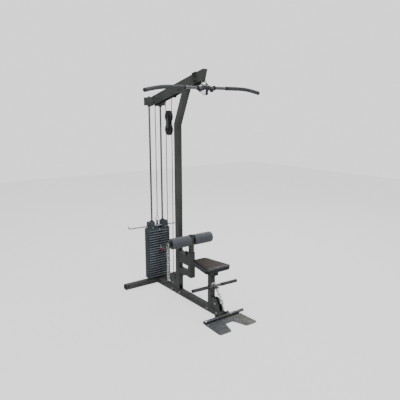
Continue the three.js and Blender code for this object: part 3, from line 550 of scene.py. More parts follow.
for i in range(1, 21):
    nm_ = "weight_plate_%02d" % i
    zs_ = [(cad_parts[nm_].matrix_world @ v.co).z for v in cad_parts[nm_].data.vertices]
    zm_ = (min(zs_) + max(zs_)) / 2
    # the upper front and back rims get a wider bevel in the lighter iron copy, a painted highlight where light falls
    # on the tops; the other rims keep plain iron
    refine(nm_, "iron", "stack" if i <= 8 else "frame", [(lambda e, a, b, z=zm_: a.z > z and abs(a.y - b.y) < 0.002 and plate_pick(e, a, b), 0.0062, 3, "iron_edge"), (lambda e, a, b, z=zm_: (a.z < z or abs(a.y - b.y) >= 0.002) and plate_pick(e, a, b), 0.0044, 3)], 30)
refine("top_plate", "iron_head", "stack", [(lambda e, a, b: e.calc_length() > 0.018, 0.0014, 2)], 35)
refine("selector_stem", "chrome", "stack", (), 35)

zt = 0.568
# cross rod with an upturned end, its clip and its small end stop
SR = lambda x: Vector((x, 0.6065, zt + 0.052 - x * 0.026))
pts = [Vector((-0.345, 0.6065, zt + 0.0855)), Vector((-0.3448, 0.6065, zt + 0.073)), Vector((-0.338, 0.6065, zt + 0.0625)), SR(-0.325), SR(-0.26), SR(-0.2), SR(-0.1), SR(0), SR(0.1), SR(0.189)]
path = smooth_path(pts, 8)
sweep("side_rod", path, lambda i: 0.0062 if 1 < i < len(path) - 2 else 0.0052, "link", "stack", 16, nodes=("stack_side_rod",))
bm = bmesh.new()
for x, r0, r1, w in ((-0.1225, 5.4, 10.5, 11), (0.1035, 5.4, 10.5, 10), (0.125, 5.4, 8.5, 6), (0.187, 5.4, 8.0, 5), (-0.150, 5.4, 8.0, 6)):
    c = SR(x); lathe_bm(bm, [(r0 / 1000, -w / 2000), (r1 / 1000, -w / 2000), (r1 / 1000, w / 2000), (r0 / 1000, w / 2000)], c, (1, 0, -0.026), 24, True)
finish_obj("side_rod_collars", from_bm(bm, "c"), "black", "stack", 40)
bolts("ear_bolts", [((s * 0.074, 0.5955, zt + 0.034), (0, -1, 0), 10, 4) for s in (-1, 1)] + [((0.0, 0.5955, zt + 0.011), (0, -1, 0), 10, 4)], "stack")


def oval_link_bm(bm, c, along, normal, length, width, r, segs=10, n=28):
    """closed oval ring, long axis 'along', lying square to 'normal'"""
    a = Vector(along).normalized(); nn = Vector(normal).normalized(); b = nn.cross(a).normalized(); c = Vector(c)
    hl, hw = length / 2 - width / 2, width / 2; pts = []
    half = n // 2
    for i in range(half + 1):
        t = -math.pi / 2 + math.pi * i / half
        pts.append(c + a * (hl + hw * math.cos(t)) + b * (hw * math.sin(t)))
    for i in range(half + 1):
        t = math.pi / 2 + math.pi * i / half
        pts.append(c + a * (-hl + hw * math.cos(t)) + b * (hw * math.sin(t)))
    sweep_bm(bm, pts, r, segs, closed=True)


def chain_bm(bm, path, pitch, width, r, twist=0.0):
    """links threaded along a polyline"""
    P = [Vector(p) for p in path]; d = [0.0]
    for i in range(1, len(P)):
        d.append(d[-1] + (P[i] - P[i - 1]).length)
    n = max(2, round(d[-1] / pitch)); step = d[-1] / n

    def at(s):
        s = max(0, min(d[-1], s))
        for i in range(1, len(P)):
            if s <= d[i]:
                return P[i - 1].lerp(P[i], (s - d[i - 1]) / (d[i] - d[i - 1]))
        return P[-1]
    for i in range(n):
        a, b = at(i * step), at((i + 1) * step); t = (b - a).normalized()
        _, u, v = basis(t)
        ang = (math.pi / 2 * (i % 2)) + math.pi / 4 + twist
        oval_link_bm(bm, (a + b) / 2, t, u * math.cos(ang) + v * math.sin(ang), step + 3.2 * r, width, r, 8, 20)


def carabiner_bm(bm, top, bottom, width, r, normal):
    """snap link between two points, wider at its lower end, with a gate sleeve"""
    a, b = Vector(top), Vector(bottom); ax = (b - a); ln = ax.length; ax.normalize(); nn = Vector(normal).normalized(); side = nn.cross(ax).normalized()
    pts = []
    for i in range(36):
        t = 2 * math.pi * i / 36; c, s2 = math.cos(t), math.sin(t)
        k = 1.0 + 0.16 * c
        pts.append(a + ax * (ln / 2 + c * ln / 2) + side * (s2 * width / 2 * k))
    sweep_bm(bm, pts, r, 10, closed=True)
    g0 = a + ax * ln * 0.34 + side * width / 2 * 0.97; g1 = a + ax * ln * 0.66 + side * width / 2 * 1.05
    sweep_bm(bm, [g0, g0.lerp(g1, 0.5), g1], r * 1.45, 12)


# snap link from the stem's eye to the cable's thimble
bm = bmesh.new()
carabiner_bm(bm, (0, 0.6375, 0.7180), (0, 0.6375, 0.6470), 0.027, 0.0034, (0, 1, 0))
finish_obj("stack_snap_link", from_bm(bm, "c"), "link", "stack", 60)
bm = bmesh.new()
oval_link_bm(bm, (0, 0.6340, 0.7285), (0, 0, 1), (1, 0, 0), 0.030, 0.016, 0.0026, 10, 24)
lathe_bm(bm, [(0, 0.741), (0.0052, 0.741), (0.0060, 0.7422), (0.0060, 0.7655), (0.0052, 0.767), (0, 0.767)], (0, 0.6325, 0), (0, 0, 1), 20)
finish_obj("stack_cable_thimble", from_bm(bm, "c"), "link", "stack", 50)

# selector pin: steel pin, collar and a round knob
lathe("pin_shaft", [(0, 553), (8.2, 553), (9.0, 554), (9.0, 591), (8.4, 592.2), (5.0, 592.3), (5.0, 646), (3.4, 648.5), (0, 648.5)], (0, 0, 0.3773), (0, 1, 0), "link", "selector_pin", 28, nodes=("selector_pin",))
prof = [(0, 512.5)] + [(22 * math.sin(rad(a)), 534.5 - 22 * math.cos(rad(a))) for a in range(10, 150, 10)] + [(10.5, 553.6), (10.5, 556.5), (0, 556.5)]
lathe("pin_knob", prof, (0, 0, 0.3773), (0, 1, 0), "red", "selector_pin", 40)
lathe("pin_tether_post", [(0, 0), (3.4, 0), (3.4, 30), (2.4, 32), (0, 32)], (0, 0.573, 0.3835), (0, 0, 1), "link", "selector_pin", 18)


# ------------------------------------------------------------------ pulleys
def pulley(node, body, y, z, R, G, half=11, hub=15):
    c = (0, y, z); g = G - 4.4
    prof = [(6.5, -hub), (12.5, -hub), (14, -hub + 1), (14, -half + 2.4), (17, -half + 3.4), (G - 13, -half + 3.4), (G - 9, -half), (R - 1.6, -half), (R - .3, -half + .9), (R, -half + 2.0),
            (R - .8, -half + 3.2), (g + 1.4, -4.2), (g + .2, -2.2), (g, 0), (g + .2, 2.2), (g + 1.4, 4.2), (R - .8, half - 3.2), (R, half - 2.0), (R - .3, half - .9), (R - 1.6, half),
            (G - 9, half), (G - 13, half - 3.4), (17, half - 3.4), (14, half - 2.4), (14, hub - 1), (12.5, hub), (6.5, hub)]
    lathe(node + "_wheel", prof, c, (1, 0, 0), "nylon", body, 64, True, 38, (node,))
    bm = bmesh.new()
    for s in (-1, 1):
        lathe_bm(bm, [(0.0066, s * (hub - 2.5) / 1000), (0.0112, s * (hub - 2.5) / 1000), (0.0112, s * (hub + .15) / 1000), (0.0066, s * (hub + .15) / 1000)], c, (1, 0, 0), 28, True)
    finish_obj(node + "_bearing", from_bm(bm, "b"), "bolt", body, 40)
    bm = bmesh.new()
    for k in range(6):
        a = 2 * math.pi * k / 6 + 0.3
        for s in (-1, 1):
            b2 = bmesh.new(); box_bm(b2, (s * (half - 2.2) / 1000 - 0.0013, -0.0016, 0.0145), (s * (half - 2.2) / 1000 + 0.0013, 0.0016, (G - 10) / 1000), 0.0006, 1)
            b2.transform(Matrix.Translation(c) @ Matrix.Rotation(a, 4, "X")); tmp = bpy.data.meshes.new("t"); b2.to_mesh(tmp); b2.free(); bm.from_mesh(tmp); bpy.data.meshes.remove(tmp)
    finish_obj(node + "_ribs", from_bm(bm, "r"), "nylon", body, 40)


pulley("boom_pulley_front", "boom_pulley_front", *CF, 50, 44)
pulley("boom_pulley_middle", "boom_pulley_middle", *CM, 50, 44)
pulley("boom_pulley_block", "boom_pulley_block", *CB, 50, 44)
pulley("boom_pulley_stack", "boom_pulley_stack", *CS, 50, 44)
pulley("block_pulley_upper", "block_pulley_upper", 0.3835, 1.719, 57, 51)
pulley("block_pulley_lower", "block_pulley_lower", 0.3835, 1.600, 57, 51)
pulley("base_pulley", "base_pulley", 0.306, 0.101, 40, 34.5)
pulley("low_pulley", "low_pulley", -0.3645, 0.110, 50, 44)

# ------------------------------------------------------------------ cables
CR = 0.0036


def arc(y, z, r, a0, a1, n):
    return [Vector((0, y + r * math.cos(rad(a0 + (a1 - a0) * i / n)), z + r * math.sin(rad(a0 + (a1 - a0) * i / n)))) for i in range(n + 1)]


def line(a, b, n):
    a, b = Vector(a), Vector(b)
    return [a.lerp(b, i / n) for i in range(n + 1)]


aB = math.degrees(math.atan(0.2374))
boom_run = arc(*CF, 0.044, 180, 90 - aB, 14) + arc(*CM, 0.044, 90 - aB, 0, 12)
o = sweep("cable_boom", boom_run, CR, "cable", "frame", 10, nodes=("upper_cable",))
sweep("cable_rear", arc(*CB, 0.044, 180, 90 - aB, 12) + arc(*CS, 0.044, 90 - aB, 0, 12), CR, "cable", "frame", 10)
sweep("cable_block_upper", arc(0.3835, 1.719, 0.051, 180, 360, 20), CR, "cable", "block", 10)


def blended(name, pts, mat="cable", r=CR):
    bm = bmesh.new(); sweep_bm(bm, pts, r, 10)
    o = finish_obj(name, from_bm(bm, name), mat, None, 50)
    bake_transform(o)
    return o


blended("cable_block_front", line((0, 0.3325, 1.9387), (0, 0.3325, 1.719), 48))
blended("cable_block_rear", line((0, 0.4345, 1.8936), (0, 0.4345, 1.719), 48))
blended("cable_lat_drop", line((0, -0.1395, 2.0300), (0, -0.1395, 2.009), 60))
o = sweep("cable_stack", line((0, 0.6325, 1.8675), (0, 0.6325, 0.7655), 60), 0.0040, "cable", None, 10, nodes=())
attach(o, "frame"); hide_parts("stack_cable"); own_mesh(o)
o = sweep("cable_low_rear", line((0, 0.4345, 0.0605), (0, 0.4345, 1.600), 60), CR, "cable", None, 10)
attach(o, "frame"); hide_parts("lower_cable"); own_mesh(o)
o = sweep("cable_low_front", line((0, 0.3325 + 0.008, 0.101), (0, 0.3325, 1.600), 60), CR, "cable", None, 10)
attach(o, "frame"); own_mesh(o)
sweep("cable_block_lower", arc(0.3835, 1.600, 0.051, 0, 180, 20), CR, "cable", "block", 10)
run = arc(0.306, 0.101, 0.0345, 0, -90, 10) + [Vector((0, -0.3645, 0.066))]
sweep("cable_low_run", run + arc(-0.3645, 0.110, 0.044, -90, -101, 3)[1:], CR, "cable", "frame", 10)
pp = smooth_path([(0, -0.3729, 0.0668), (0, -0.390, 0.0685), (0, -0.4195, 0.0715), (0, -0.4515, 0.0755)], 14)
blended("cable_low_end", pp)
# cable terminals
bm = bmesh.new()
lathe_bm(bm, [(0, 1.9989), (0.0046, 1.9989), (0.0050, 2.0000), (0.0050, 2.0100), (0.0042, 2.0112), (0, 2.0112)], (0, -0.1395, 0), (0, 0, 1), 24)
finish_obj("lat_ferrule", from_bm(bm, "f"), "link", "lat_cable_end", 40, ("lat_cable_end",))
bm = bmesh.new()
lathe_bm(bm, [(0, 0.0600), (0.010, 0.0600), (0.010, 0.0645), (0.0062, 0.0655), (0.0062, 0.0870), (0.0050, 0.0885), (0, 0.0885)], (0, 0.4345, 0), (0, 0, 1), 24)
finish_obj("anchor_ferrule", from_bm(bm, "f"), "link", "frame", 40)

# ------------------------------------------------------------------ seat
def seat_outline(inset, n=10):
    rf, rr = max(0.010, 0.036 - inset), max(0.014, 0.062 - inset)
    yF, yR, wF, wR = -0.638 + 0.2325 + inset, -0.318 + 0.2325 - inset, 0.134 - inset, 0.094 - inset
    pts = []
    for cx, cy, rc, a0 in ((wR - rr, yR - rr, rr, 0), (-wR + rr, yR - rr, rr, 90), (-wF + rf, yF + rf, rf, 180), (wF - rf, yF + rf, rf, 270)):
        for i in range(n + 1):
            a = rad(a0 + 90 * i / n); pts.append((-0.008 + cx + rc * math.cos(a), cy + rc * math.sin(a)))
        # straight run to the next corner
    out = []
    for i in range(4):
        c = pts[i * (n + 1):(i + 1) * (n + 1)]; nx = pts[((i + 1) % 4) * (n + 1)]
        out += c
        for k in range(1, 8):
            out.append((c[-1][0] + (nx[0] - c[-1][0]) * k / 8, c[-1][1] + (nx[1] - c[-1][1]) * k / 8))
    return out


rings = [(0.022, 0.4052), (0.0125, 0.4052), (0.0078, 0.4064), (0.0048, 0.4100), (0.0020, 0.4180), (0.0, 0.4265), (-0.0006, 0.4330), (0.0006, 0.4375), (0.0022, 0.4392), (0.0046, 0.4400), (0.0062, 0.4416), (0.0090, 0.4444), (0.014, 0.4470), (0.022, 0.4492), (0.034, 0.4508), (0.050, 0.4520), (0.068, 0.4528), (0.080, 0.4531)]
bm = bmesh.new(); prev = None; cy = -0.2455; cx0 = -0.008; nside = 13
for k, (ins, z) in enumerate(rings):
    ol = seat_outline(max(ins, 0)) if ins >= 0 else [(cx0 + (x - cx0) * (1 - ins / 0.12), cy + (y - cy) * (1 - ins / 0.14)) for x, y in seat_outline(0)]
    ring = []
    for j, (x, y) in enumerate(ol):
        # sides draw in a little between the corners
        t = 0.0
        if 2 < k < 8:
            t = 0.0012 * math.sin(j / len(ol) * 2 * math.pi * 4) ** 2
        w = 0.0004 * math.sin(x * 95 + y * 40) * (1 if k > 9 else 0)
        ring.append(bm.verts.new((cx0 + (x - cx0) * (1 - t * 6), cy + (y - cy) * (1 - t * 6), z + w)))
    if prev:
        for j in range(len(ring)):
            f = bm.faces.new((prev[j], prev[(j + 1) % len(ring)], ring[(j + 1) % len(ring)], ring[j]))
            f.material_index = 1 if k <= nside else 0
    prev = ring
    if k == 0:
        bf = bm.faces.new(list(reversed(ring))); bf.material_index = 1
c = bm.verts.new((cx0, cy, 0.4533))
for j in range(len(prev)):
    bm.faces.new((prev[j], prev[(j + 1) % len(prev)], c))
seat = finish_obj("seat_cushion", from_bm(bm, "seat"), "vinyl_top", "frame", 70, ("seat_pad",))
seat.data.materials.append(M["vinyl_side"])
# piping tube round the seat's top edge in the lighter vinyl: a real roll carrying a painted highlight line
ol = seat_outline(0.0034)
sweep("seat_piping_highlight", [(x, y, 0.4398) for x, y in ol], 0.0025, "rim_highlight_vinyl", "frame", 8, True)
bm = bmesh.new()
lo_, hi_ = [bm.verts.new((x, y, 0.4047)) for x, y in seat_outline(0.016)], [bm.verts.new((x, y, 0.4077)) for x, y in seat_outline(0.016)]
for j in range(len(lo_)):
    bm.faces.new((lo_[j], lo_[(j + 1) % len(lo_)], hi_[(j + 1) % len(lo_)], hi_[j]))
bm.faces.new(lo_); bm.faces.new(hi_)
finish_obj("seat_board", from_bm(bm, "board"), "wood", "frame", 50)
bolts("seat_bolts", [((sx * 0.055, y, 0.4008), (0, 0, -1), 11, 4.5) for sx in (-1, 1) for y in (-0.300, -0.215)], "frame")
bolts("seat_post_bolts", [((-0.0242, -0.2795, z), (-1, 0, 0), 13, 5) for z in (0.372,)] + [((0.0242, -0.2795, 0.372), (1, 0, 0), 13, 5)], "frame", "black")
# plugs in the post's adjustment holes and in the carrier's ends
bm = bmesh.new()
for z in (0.330, 0.145):
    lathe_bm(bm, [(0, 0), (0.0075, 0), (0.0075, 0.0012), (0.006, 0.0022), (0, 0.0026)], L(0, -536, z * 1000), (0, -1, 0), 24)
finish_obj("post_plugs", from_bm(bm, "p"), "black", "frame", 40)
for y, d, tag in ((-0.3455, -1, "front"), (-0.1775, 1, "rear")):
    bm = bmesh.new(); box_bm(bm, (-0.0222, min(y, y + d * 0.004), 0.3562), (0.0222, max(y, y + d * 0.004), 0.4018), 0.0018, 2)
    finish_obj("carrier_cap_" + tag, from_bm(bm, "c"), "black", "frame", 50)

# ------------------------------------------------------------------ thigh pads
for s, tag in ((-1, "left"), (1, "right")):
    x0, x1 = (-224, -24) if s < 0 else (24, 224)
    prof = [(13.4, x0 + 3.5), (34, x0 + 3.0), (41, x0 + 1.2), (46, x0 + 1.6), (48.6, x0 + 4.5), (49.8, x0 + 10), (50.0, x0 + 24), (50.3, (x0 + x1) / 2), (50.0, x1 - 24), (49.8, x1 - 10), (48.6, x1 - 4.5), (46, x1 - 1.6), (41, x1 - 1.2), (34, x1 - 3.0), (13.4, x1 - 3.5)]
    o = lathe("roller_foam_" + tag, prof, (0, 0.0275, 0.591), (1, 0, 0), "foam", "thigh_roller_" + tag, 72, True, 60, ("thigh_roller_" + tag,))
    xe = -224 if s < 0 else 224; xi = -24 if s < 0 else 24
    bm = bmesh.new()
    P2 = lambda l: [(r / 1000, h / 1000) for r, h in l]
    lathe_bm(bm, P2([(13.2, xe - s * 3.6), (33, xe - s * 3.3), (33.5, xe - s * 1.6), (31.5, xe - s * 0.4), (13.2, xe - s * 0.2)]), (0, 0.0275, 0.591), (1, 0, 0), 48, True)
    lathe_bm(bm, P2([(13.2, xi + s * 3.6), (33, xi + s * 3.3), (33.5, xi + s * 1.6), (31.5, xi + s * 0.4), (13.2, xi + s * 0.2)]), (0, 0.0275, 0.591), (1, 0, 0), 48, True)
    finish_obj("roller_discs_" + tag, from_bm(bm, "d"), "black", "thigh_roller_" + tag, 40)
bm = bmesh.new()
lathe_bm(bm, [(0, 0.2255), (0.0118, 0.2255), (0.0136, 0.2275), (0.0136, 0.2335), (0.011, 0.2365), (0, 0.2372)], (0, 0.0275, 0.591), (1, 0, 0), 32)
lathe_bm(bm, [(0.0063, -0.2255), (0.0128, -0.2255), (0.0136, -0.2275), (0.0136, -0.2325), (0.0118, -0.2345), (0.0063, -0.2345)], (0, 0.0275, 0.591), (1, 0, 0), 32, True)
finish_obj("shaft_ends", from_bm(bm, "e"), "black", "thigh_post", 40)
bm = bmesh.new(); box_bm(bm, (-0.0192, 0.0083, 0.6375), (0.0192, 0.0467, 0.6425), 0.0018, 2)
finish_obj("post_cap", from_bm(bm, "c"), "black", "thigh_post", 50)
# collar at the sleeve's mouth and the row of adjustment holes
bm = bmesh.new()
for k in range(5):
    lathe_bm(bm, [(0, 0), (0.0056, 0), (0.0056, 0.0004), (0, 0.0004)], (-0.0199, 0.0275, 0.490 + k * 0.022), (-1, 0, 0), 18)
finish_obj("post_holes", from_bm(bm, "h"), "black", "thigh_post", 40)
bm = bmesh.new()
for a, b in (((-0.0262, 0.0013, 0.4750), (-0.0209, 0.0537, 0.4765)), ((0.0209, 0.0013, 0.4750), (0.0262, 0.0537, 0.4765)), ((-0.0262, 0.0013, 0.4750), (0.0262, 0.0066, 0.4765)), ((-0.0262, 0.0484, 0.4750), (0.0262, 0.0537, 0.4765))):
    box_bm(bm, a, b, 0.0005, 1)
finish_obj("sleeve_liner", from_bm(bm, "l"), "black", "frame", 50)
# spring pin knob: fluted round head on a steel barrel
prof = [(0, 84.3), (7.5, 84.3), (7.5, 94.2), (11.0, 95.2), (14.0, 97.6), (14.8, 101.5), (14.8, 113.5), (13.4, 117.6), (8.5, 120.2), (0, 120.5)]
lathe("thigh_knob", prof, (0, 0, 0.453), (0, 1, 0), "black", "thigh_pin", 40, nodes=("thigh_pin",))
bm = bmesh.new()
for k in range(12):
    a = 2 * math.pi * k / 12
    sweep_bm(bm, [Vector((math.cos(a) * 0.0144, y, 0.453 + math.sin(a) * 0.0144)) for y in (0.1015, 0.105, 0.109, 0.1125)], 0.0011, 6)
finish_obj("thigh_knob_flutes", from_bm(bm, "f"), "black", "thigh_pin", 60)
lathe("thigh_plunger", [(0, 49), (5.0, 49), (5.0, 84.6), (0, 84.6)], (0, 0, 0.453), (0, 1, 0), "bolt", "thigh_pin", 20)

# ------------------------------------------------------------------ lat bar
psi = rad(-3.4); HB = 0.572; LY, LZ = -0.1975, 1.955


def bar_pt(u, d=0.0):
    return Vector((u * math.cos(psi), LY + u * math.sin(psi), LZ - d))


def droop(u):
    a = abs(u) / HB
    ks = [(0.0, 0), (0.56, 0), (0.62, 0.0002), (0.68, 0.0014), (0.74, 0.0044), (0.80, 0.0090), (0.87, 0.0162), (0.94, 0.0245), (1.0, 0.0325)]
    for (a0, d0), (a1, d1) in zip(ks, ks[1:]):
        if a <= a1:
            return d0 + (d1 - d0) * (a - a0) / (a1 - a0)
    return ks[-1][1]


us = [-HB + 2 * HB * i / 96 for i in range(97)]
dr = [droop(u) for u in us]
for _ in range(3):
    dr = [dr[0]] + [(dr[i - 1] + 2 * dr[i] + dr[i + 1]) / 4 for i in range(1, 96)] + [dr[-1]]
bar = [bar_pt(u, d) for u, d in zip(us, dr)]
sweep("lat_bar_core", bar, 0.0137, "barsteel", "lat_bar", 24, nodes=("lat_bar",))
for s, tag in ((-1, "left"), (1, "right")):
    idx = [i for i, u in enumerate(us) if 0.205 <= s * u <= 0.566]
    if s < 0:
        idx = idx[::-1]
    seg = [bar[i] for i in idx]; n = len(seg)
    sweep("lat_grip_" + tag, seg, lambda i: 0.0166 if 0 < i < n - 1 else 0.0158, "grip", "lat_bar", 24, angle=60)
    bm = bmesh.new(); e = bar[0] if s < 0 else bar[-1]; q = bar[3] if s < 0 else bar[-4]; t = (e - q).normalized()
    lathe_bm(bm, [(0, 0.0012), (0.009, 0.0010), (0.0140, -0.0008), (0.0166, -0.0042), (0.0171, -0.010), (0.0171, -0.016), (0.0166, -0.0168), (0, -0.0168)], e, t, 28)
    c0 = bar_pt(s * 0.208); lathe_bm(bm, [(0.0136, -0.006), (0.0172, -0.006), (0.0178, -0.004), (0.0178, 0.004), (0.0172, 0.006), (0.0136, 0.006)], c0, (math.cos(psi), math.sin(psi), 0), 28, True)
    c0 = bar_pt(s * 0.082); lathe_bm(bm, [(0.0136, -0.005), (0.0200, -0.005), (0.0208, -0.003), (0.0208, 0.003), (0.0200, 0.005), (0.0136, 0.005)], c0, (math.cos(psi), math.sin(psi), 0), 28, True)
    finish_obj("lat_bar_caps_" + tag, from_bm(bm, "c"), "black", "lat_bar", 45)
# hub sleeve with its upright lug, and two small ears under the bar
bx = Vector((math.cos(psi), math.sin(psi), 0))
bm = bmesh.new()
lathe_bm(bm, [(0.0136, -0.040), (0.0190, -0.040), (0.0204, -0.038), (0.0204, -0.021), (0.0190, -0.0185), (0.0150, -0.0175), (0.0150, 0.0175), (0.0190, 0.0185), (0.0204, 0.021), (0.0204, 0.038), (0.0190, 0.040), (0.0136, 0.040)], (0, LY, LZ), bx, 32, True)
finish_obj("lat_hub", from_bm(bm, "h"), "hub", "lat_bar", 45)


def ring_plate_bm(bm, c, r_out, r_in, t, axis, foot=None):
    lathe_bm(bm, [(r_in, -t / 2), (r_out - .001, -t / 2), (r_out, -t / 2 + .001), (r_out, t / 2 - .001), (r_out - .001, t / 2), (r_in, t / 2)], c, axis, 36, True)


bm = bmesh.new()
ring_plate_bm(bm, (0, LY, LZ + 0.021), 0.0128, 0.0085, 0.008, (1, 0, 0))
box_bm(bm, (-0.004, LY - 0.0125, LZ + 0.004), (0.004, LY - 0.0050, LZ + 0.017), 0.001, 1)
box_bm(bm, (-0.004, LY + 0.0050, LZ + 0.004), (0.004, LY + 0.0125, LZ + 0.017), 0.001, 1)
finish_obj("lat_hub_eye", from_bm(bm, "e"), "paint_mid", "lat_bar", 45)
bm = bmesh.new()
for s in (-1, 1):
    c0 = bar_pt(s * 0.058) + Vector((0, 0, -0.0205))
    ring_plate_bm(bm, c0, 0.0135, 0.0052, 0.020, (1, 0, 0))
finish_obj("lat_bar_ears", from_bm(bm, "e"), "violet", "lat_bar", 45)
# snap link and hook hanging below the hub
bm = bmesh.new()
carabiner_bm(bm, Vector((-0.058, LY - 0.003, LZ - 0.0150)), Vector((-0.012, LY - 0.004, LZ - 0.058)), 0.020, 0.0034, (0, 1, 0))
finish_obj("lat_spare_link", from_bm(bm, "c"), "link", "lat_bar", 60)
bm = bmesh.new()
lathe_bm(bm, [(0, -0.060), (0.007, -0.0585), (0.0110, -0.053), (0.0114, -0.045), (0.0106, -0.040), (0, -0.040)], (0.008, LY - 0.002, LZ), (0, 0, 1), 24)
finish_obj("lat_hub_pendant", from_bm(bm, "p"), "black", "lat_bar", 50)
bm = bmesh.new()
lathe_bm(bm, [(0, -0.0402), (0.0094, -0.0402), (0.0118, -0.034), (0.0128, -0.026), (0.0110, -0.0150), (0, -0.0150)], (0.008, LY - 0.002, LZ), (0, 0, 1), 24)
finish_obj("lat_hub_pendant_cup", from_bm(bm, "p"), "violet", "lat_bar", 50)

# lat link: swivel ball and oval snap link
bm = bmesh.new()
lathe_bm(bm, [(0, 1.9985)] + [(0.007 * math.sin(rad(a)), 1.9915 + 0.007 * math.cos(rad(a))) for a in range(12, 170, 12)] + [(0, 1.9845)], (0, -0.1395, 0), (0, 0, 1), 28)
y1, z1, y2, z2 = -0.1395, 1.984, -0.1975, 1.977
ax = Vector((0, y2 - y1, z2 - z1)); ln = ax.length; ax.normalize(); cc = Vector((0, (y1 + y2) / 2, (z1 + z2) / 2)); pts = []
for i in range(40):
    t = 2 * math.pi * i / 40; pts.append(cc + ax * (math.cos(t) * (ln / 2 + 0.002)) + Vector((1, 0, 0)) * (math.sin(t) * 0.0125))
sweep_bm(bm, pts, 0.0034, 12, closed=True)
g = cc + Vector((0.0125, 0, 0)); sweep_bm(bm, [g - ax * 0.013, g, g + ax * 0.013], 0.0050, 14)
finish_obj("lat_snap_link", from_bm(bm, "l"), "link", "lat_link", 60, ("lat_link",))

# folded strap over the boom's front, bolted through its sides
zt_ = lambda y: 1.908 + (0.432 - y) * 0.2374
bm = bmesh.new()
for s_ in (-1, 1):
    prof_ = [(-0.270, zt_(-0.270) + 0.0052), (-0.318, zt_(-0.318) + 0.0052), (-0.350, 2.0040), (-0.338, 1.9975), (-0.304, 1.9975), (-0.296, 2.0050)]
    va = [bm.verts.new((s_ * 0.0272, y + 0.2325, z)) for y, z in prof_]; vb = [bm.verts.new((s_ * 0.0322, y + 0.2325, z)) for y, z in prof_]
    fs = [bm.faces.new(va), bm.faces.new(list(reversed(vb)))] + [bm.faces.new((va[i], vb[i], vb[(i + 1) % 6], va[(i + 1) % 6])) for i in range(6)]
    bmesh.ops.recalc_face_normals(bm, faces=fs)
    bmesh.ops.bevel(bm, geom=list({e for v in vb for e in v.link_edges if e.verts[0] in vb and e.verts[1] in vb}), offset=0.0012, segments=2, affect="EDGES")
va = [bm.verts.new((x, y + 0.2325, zt_(y) + h)) for x in (-0.0322, 0.0322) for y, h in ((-0.270, 0.0002), (-0.318, 0.0002), (-0.318, 0.0072), (-0.270, 0.0072))]
for q in ((0, 1, 2, 3), (7, 6, 5, 4), (0, 4, 5, 1), (1, 5, 6, 2), (2, 6, 7, 3), (3, 7, 4, 0)):
    bm.faces.new([va[i] for i in q])
finish_obj("boom_strap", from_bm(bm, "s"), "paint_dark", "frame", 30)
bolts("boom_strap_bolts", [((sx * 0.0322, y + 0.2325, z), (sx, 0, 0), 13, 5.5) for sx in (-1, 1) for y, z in ((-0.306, 2.061), (-0.316, 2.020))], "frame", "black")

# small wire keeper at the nose of the boom
pts = smooth_path([L(22, -388, 2014), L(23, -400, 2000), L(25, -416, 1986), L(27, -424, 1979)], 8)
sweep("nose_keeper", pts, 0.0044, "black", "frame", 10)

# ------------------------------------------------------------------ low bar, chain and rest
ps2 = rad(-3.5); BY, BZ = -0.562 + 0.2325, 0.258
bl = lambda u: Vector((u * math.cos(ps2), BY + u * math.sin(ps2), BZ))
sweep("low_bar_core", [bl(-0.236 + 0.472 * i / 40) for i in range(41)], 0.0125, "barsteel", "low_handle", 24, nodes=("low_bar",))
for s, tag in ((-1, "left"), (1, "right")):
    seg = [bl(s * (0.070 + (0.233 - 0.070) * i / 24)) for i in range(25)]
    sweep("low_grip_" + tag, seg, lambda i: 0.0150 if 0 < i < 24 else 0.0142, "grip", "low_handle", 24, angle=60)
    bm = bmesh.new(); lathe_bm(bm, [(0, 0.0022), (0.008, 0.0020), (0.0134, 0.0004), (0.0150, -0.003), (0.0154, -0.009), (0.0154, -0.013), (0, -0.013)], bl(s * 0.2362), (s * math.cos(ps2), s * math.sin(ps2), 0), 28)
    lathe_bm(bm, [(0.0126, -0.004), (0.0160, -0.004), (0.0165, -0.002), (0.0165, 0.002), (0.0160, 0.004), (0.0126, 0.004)], bl(s * 0.069), (math.cos(ps2), math.sin(ps2), 0), 28, True)
    finish_obj("low_bar_caps_" + tag, from_bm(bm, "c"), "black", "low_handle", 45)
bm = bmesh.new()
lathe_bm(bm, [(0.0124, -0.015), (0.0168, -0.015), (0.0176, -0.0138), (0.0176, 0.0138), (0.0168, 0.015), (0.0124, 0.015)], (0, BY, BZ), (math.cos(ps2), math.sin(ps2), 0), 32, True)
ring_plate_bm(bm, (0, BY - 0.0275, BZ - 0.002), 0.0130, 0.0064, 0.010, (1, 0, 0))
box_bm(bm, (-0.005, BY - 0.020, BZ - 0.012), (0.005, BY - 0.011, BZ + 0.008), 0.001, 1)
finish_obj("low_bar_hub", from_bm(bm, "h"), "barsteel", "low_handle", 45)
# bright hook that holds the low bar against the post
hook = smooth_path([L(-14, -548, 243), L(-14, -541, 258), L(-13, -546, 276), L(-12, -560, 285), L(-11, -577, 287), L(-10, -591, 281)], 8)
nh = len(hook)
sweep("rest_hook", hook, lambda i: 0.0070 if i < nh - 2 else 0.0054, "bright", "frame", 14)
# chain of welded links with a snap link at the top
bm = bmesh.new()
cp = smooth_path([L(0, -594, 238), L(0, -606, 206), L(0, -638, 170), L(0, -668, 122), L(0, -681, 92), L(0, -684, 80)], 10)
carabiner_bm(bm, L(0, -590.5, 253), L(0, -601, 214), 0.023, 0.0038, (1, 0, 0.0))
chain_bm(bm, [p for p in cp if p.z < 0.2175], 0.0265, 0.0215, 0.0042)
finish_obj("low_chain_links", from_bm(bm, "c"), "link", "low_handle", 60, ("low_chain",))
bm = bmesh.new(); lathe_bm(bm, [(0, -0.004), (0.0055, -0.004), (0.0062, -0.002), (0.0062, 0.014), (0.005, 0.016), (0, 0.016)], (0, -0.4510, 0.0757), (0, 0.97, -0.13), 20)
finish_obj("low_cable_ferrule", from_bm(bm, "f"), "link", "low_handle", 45)

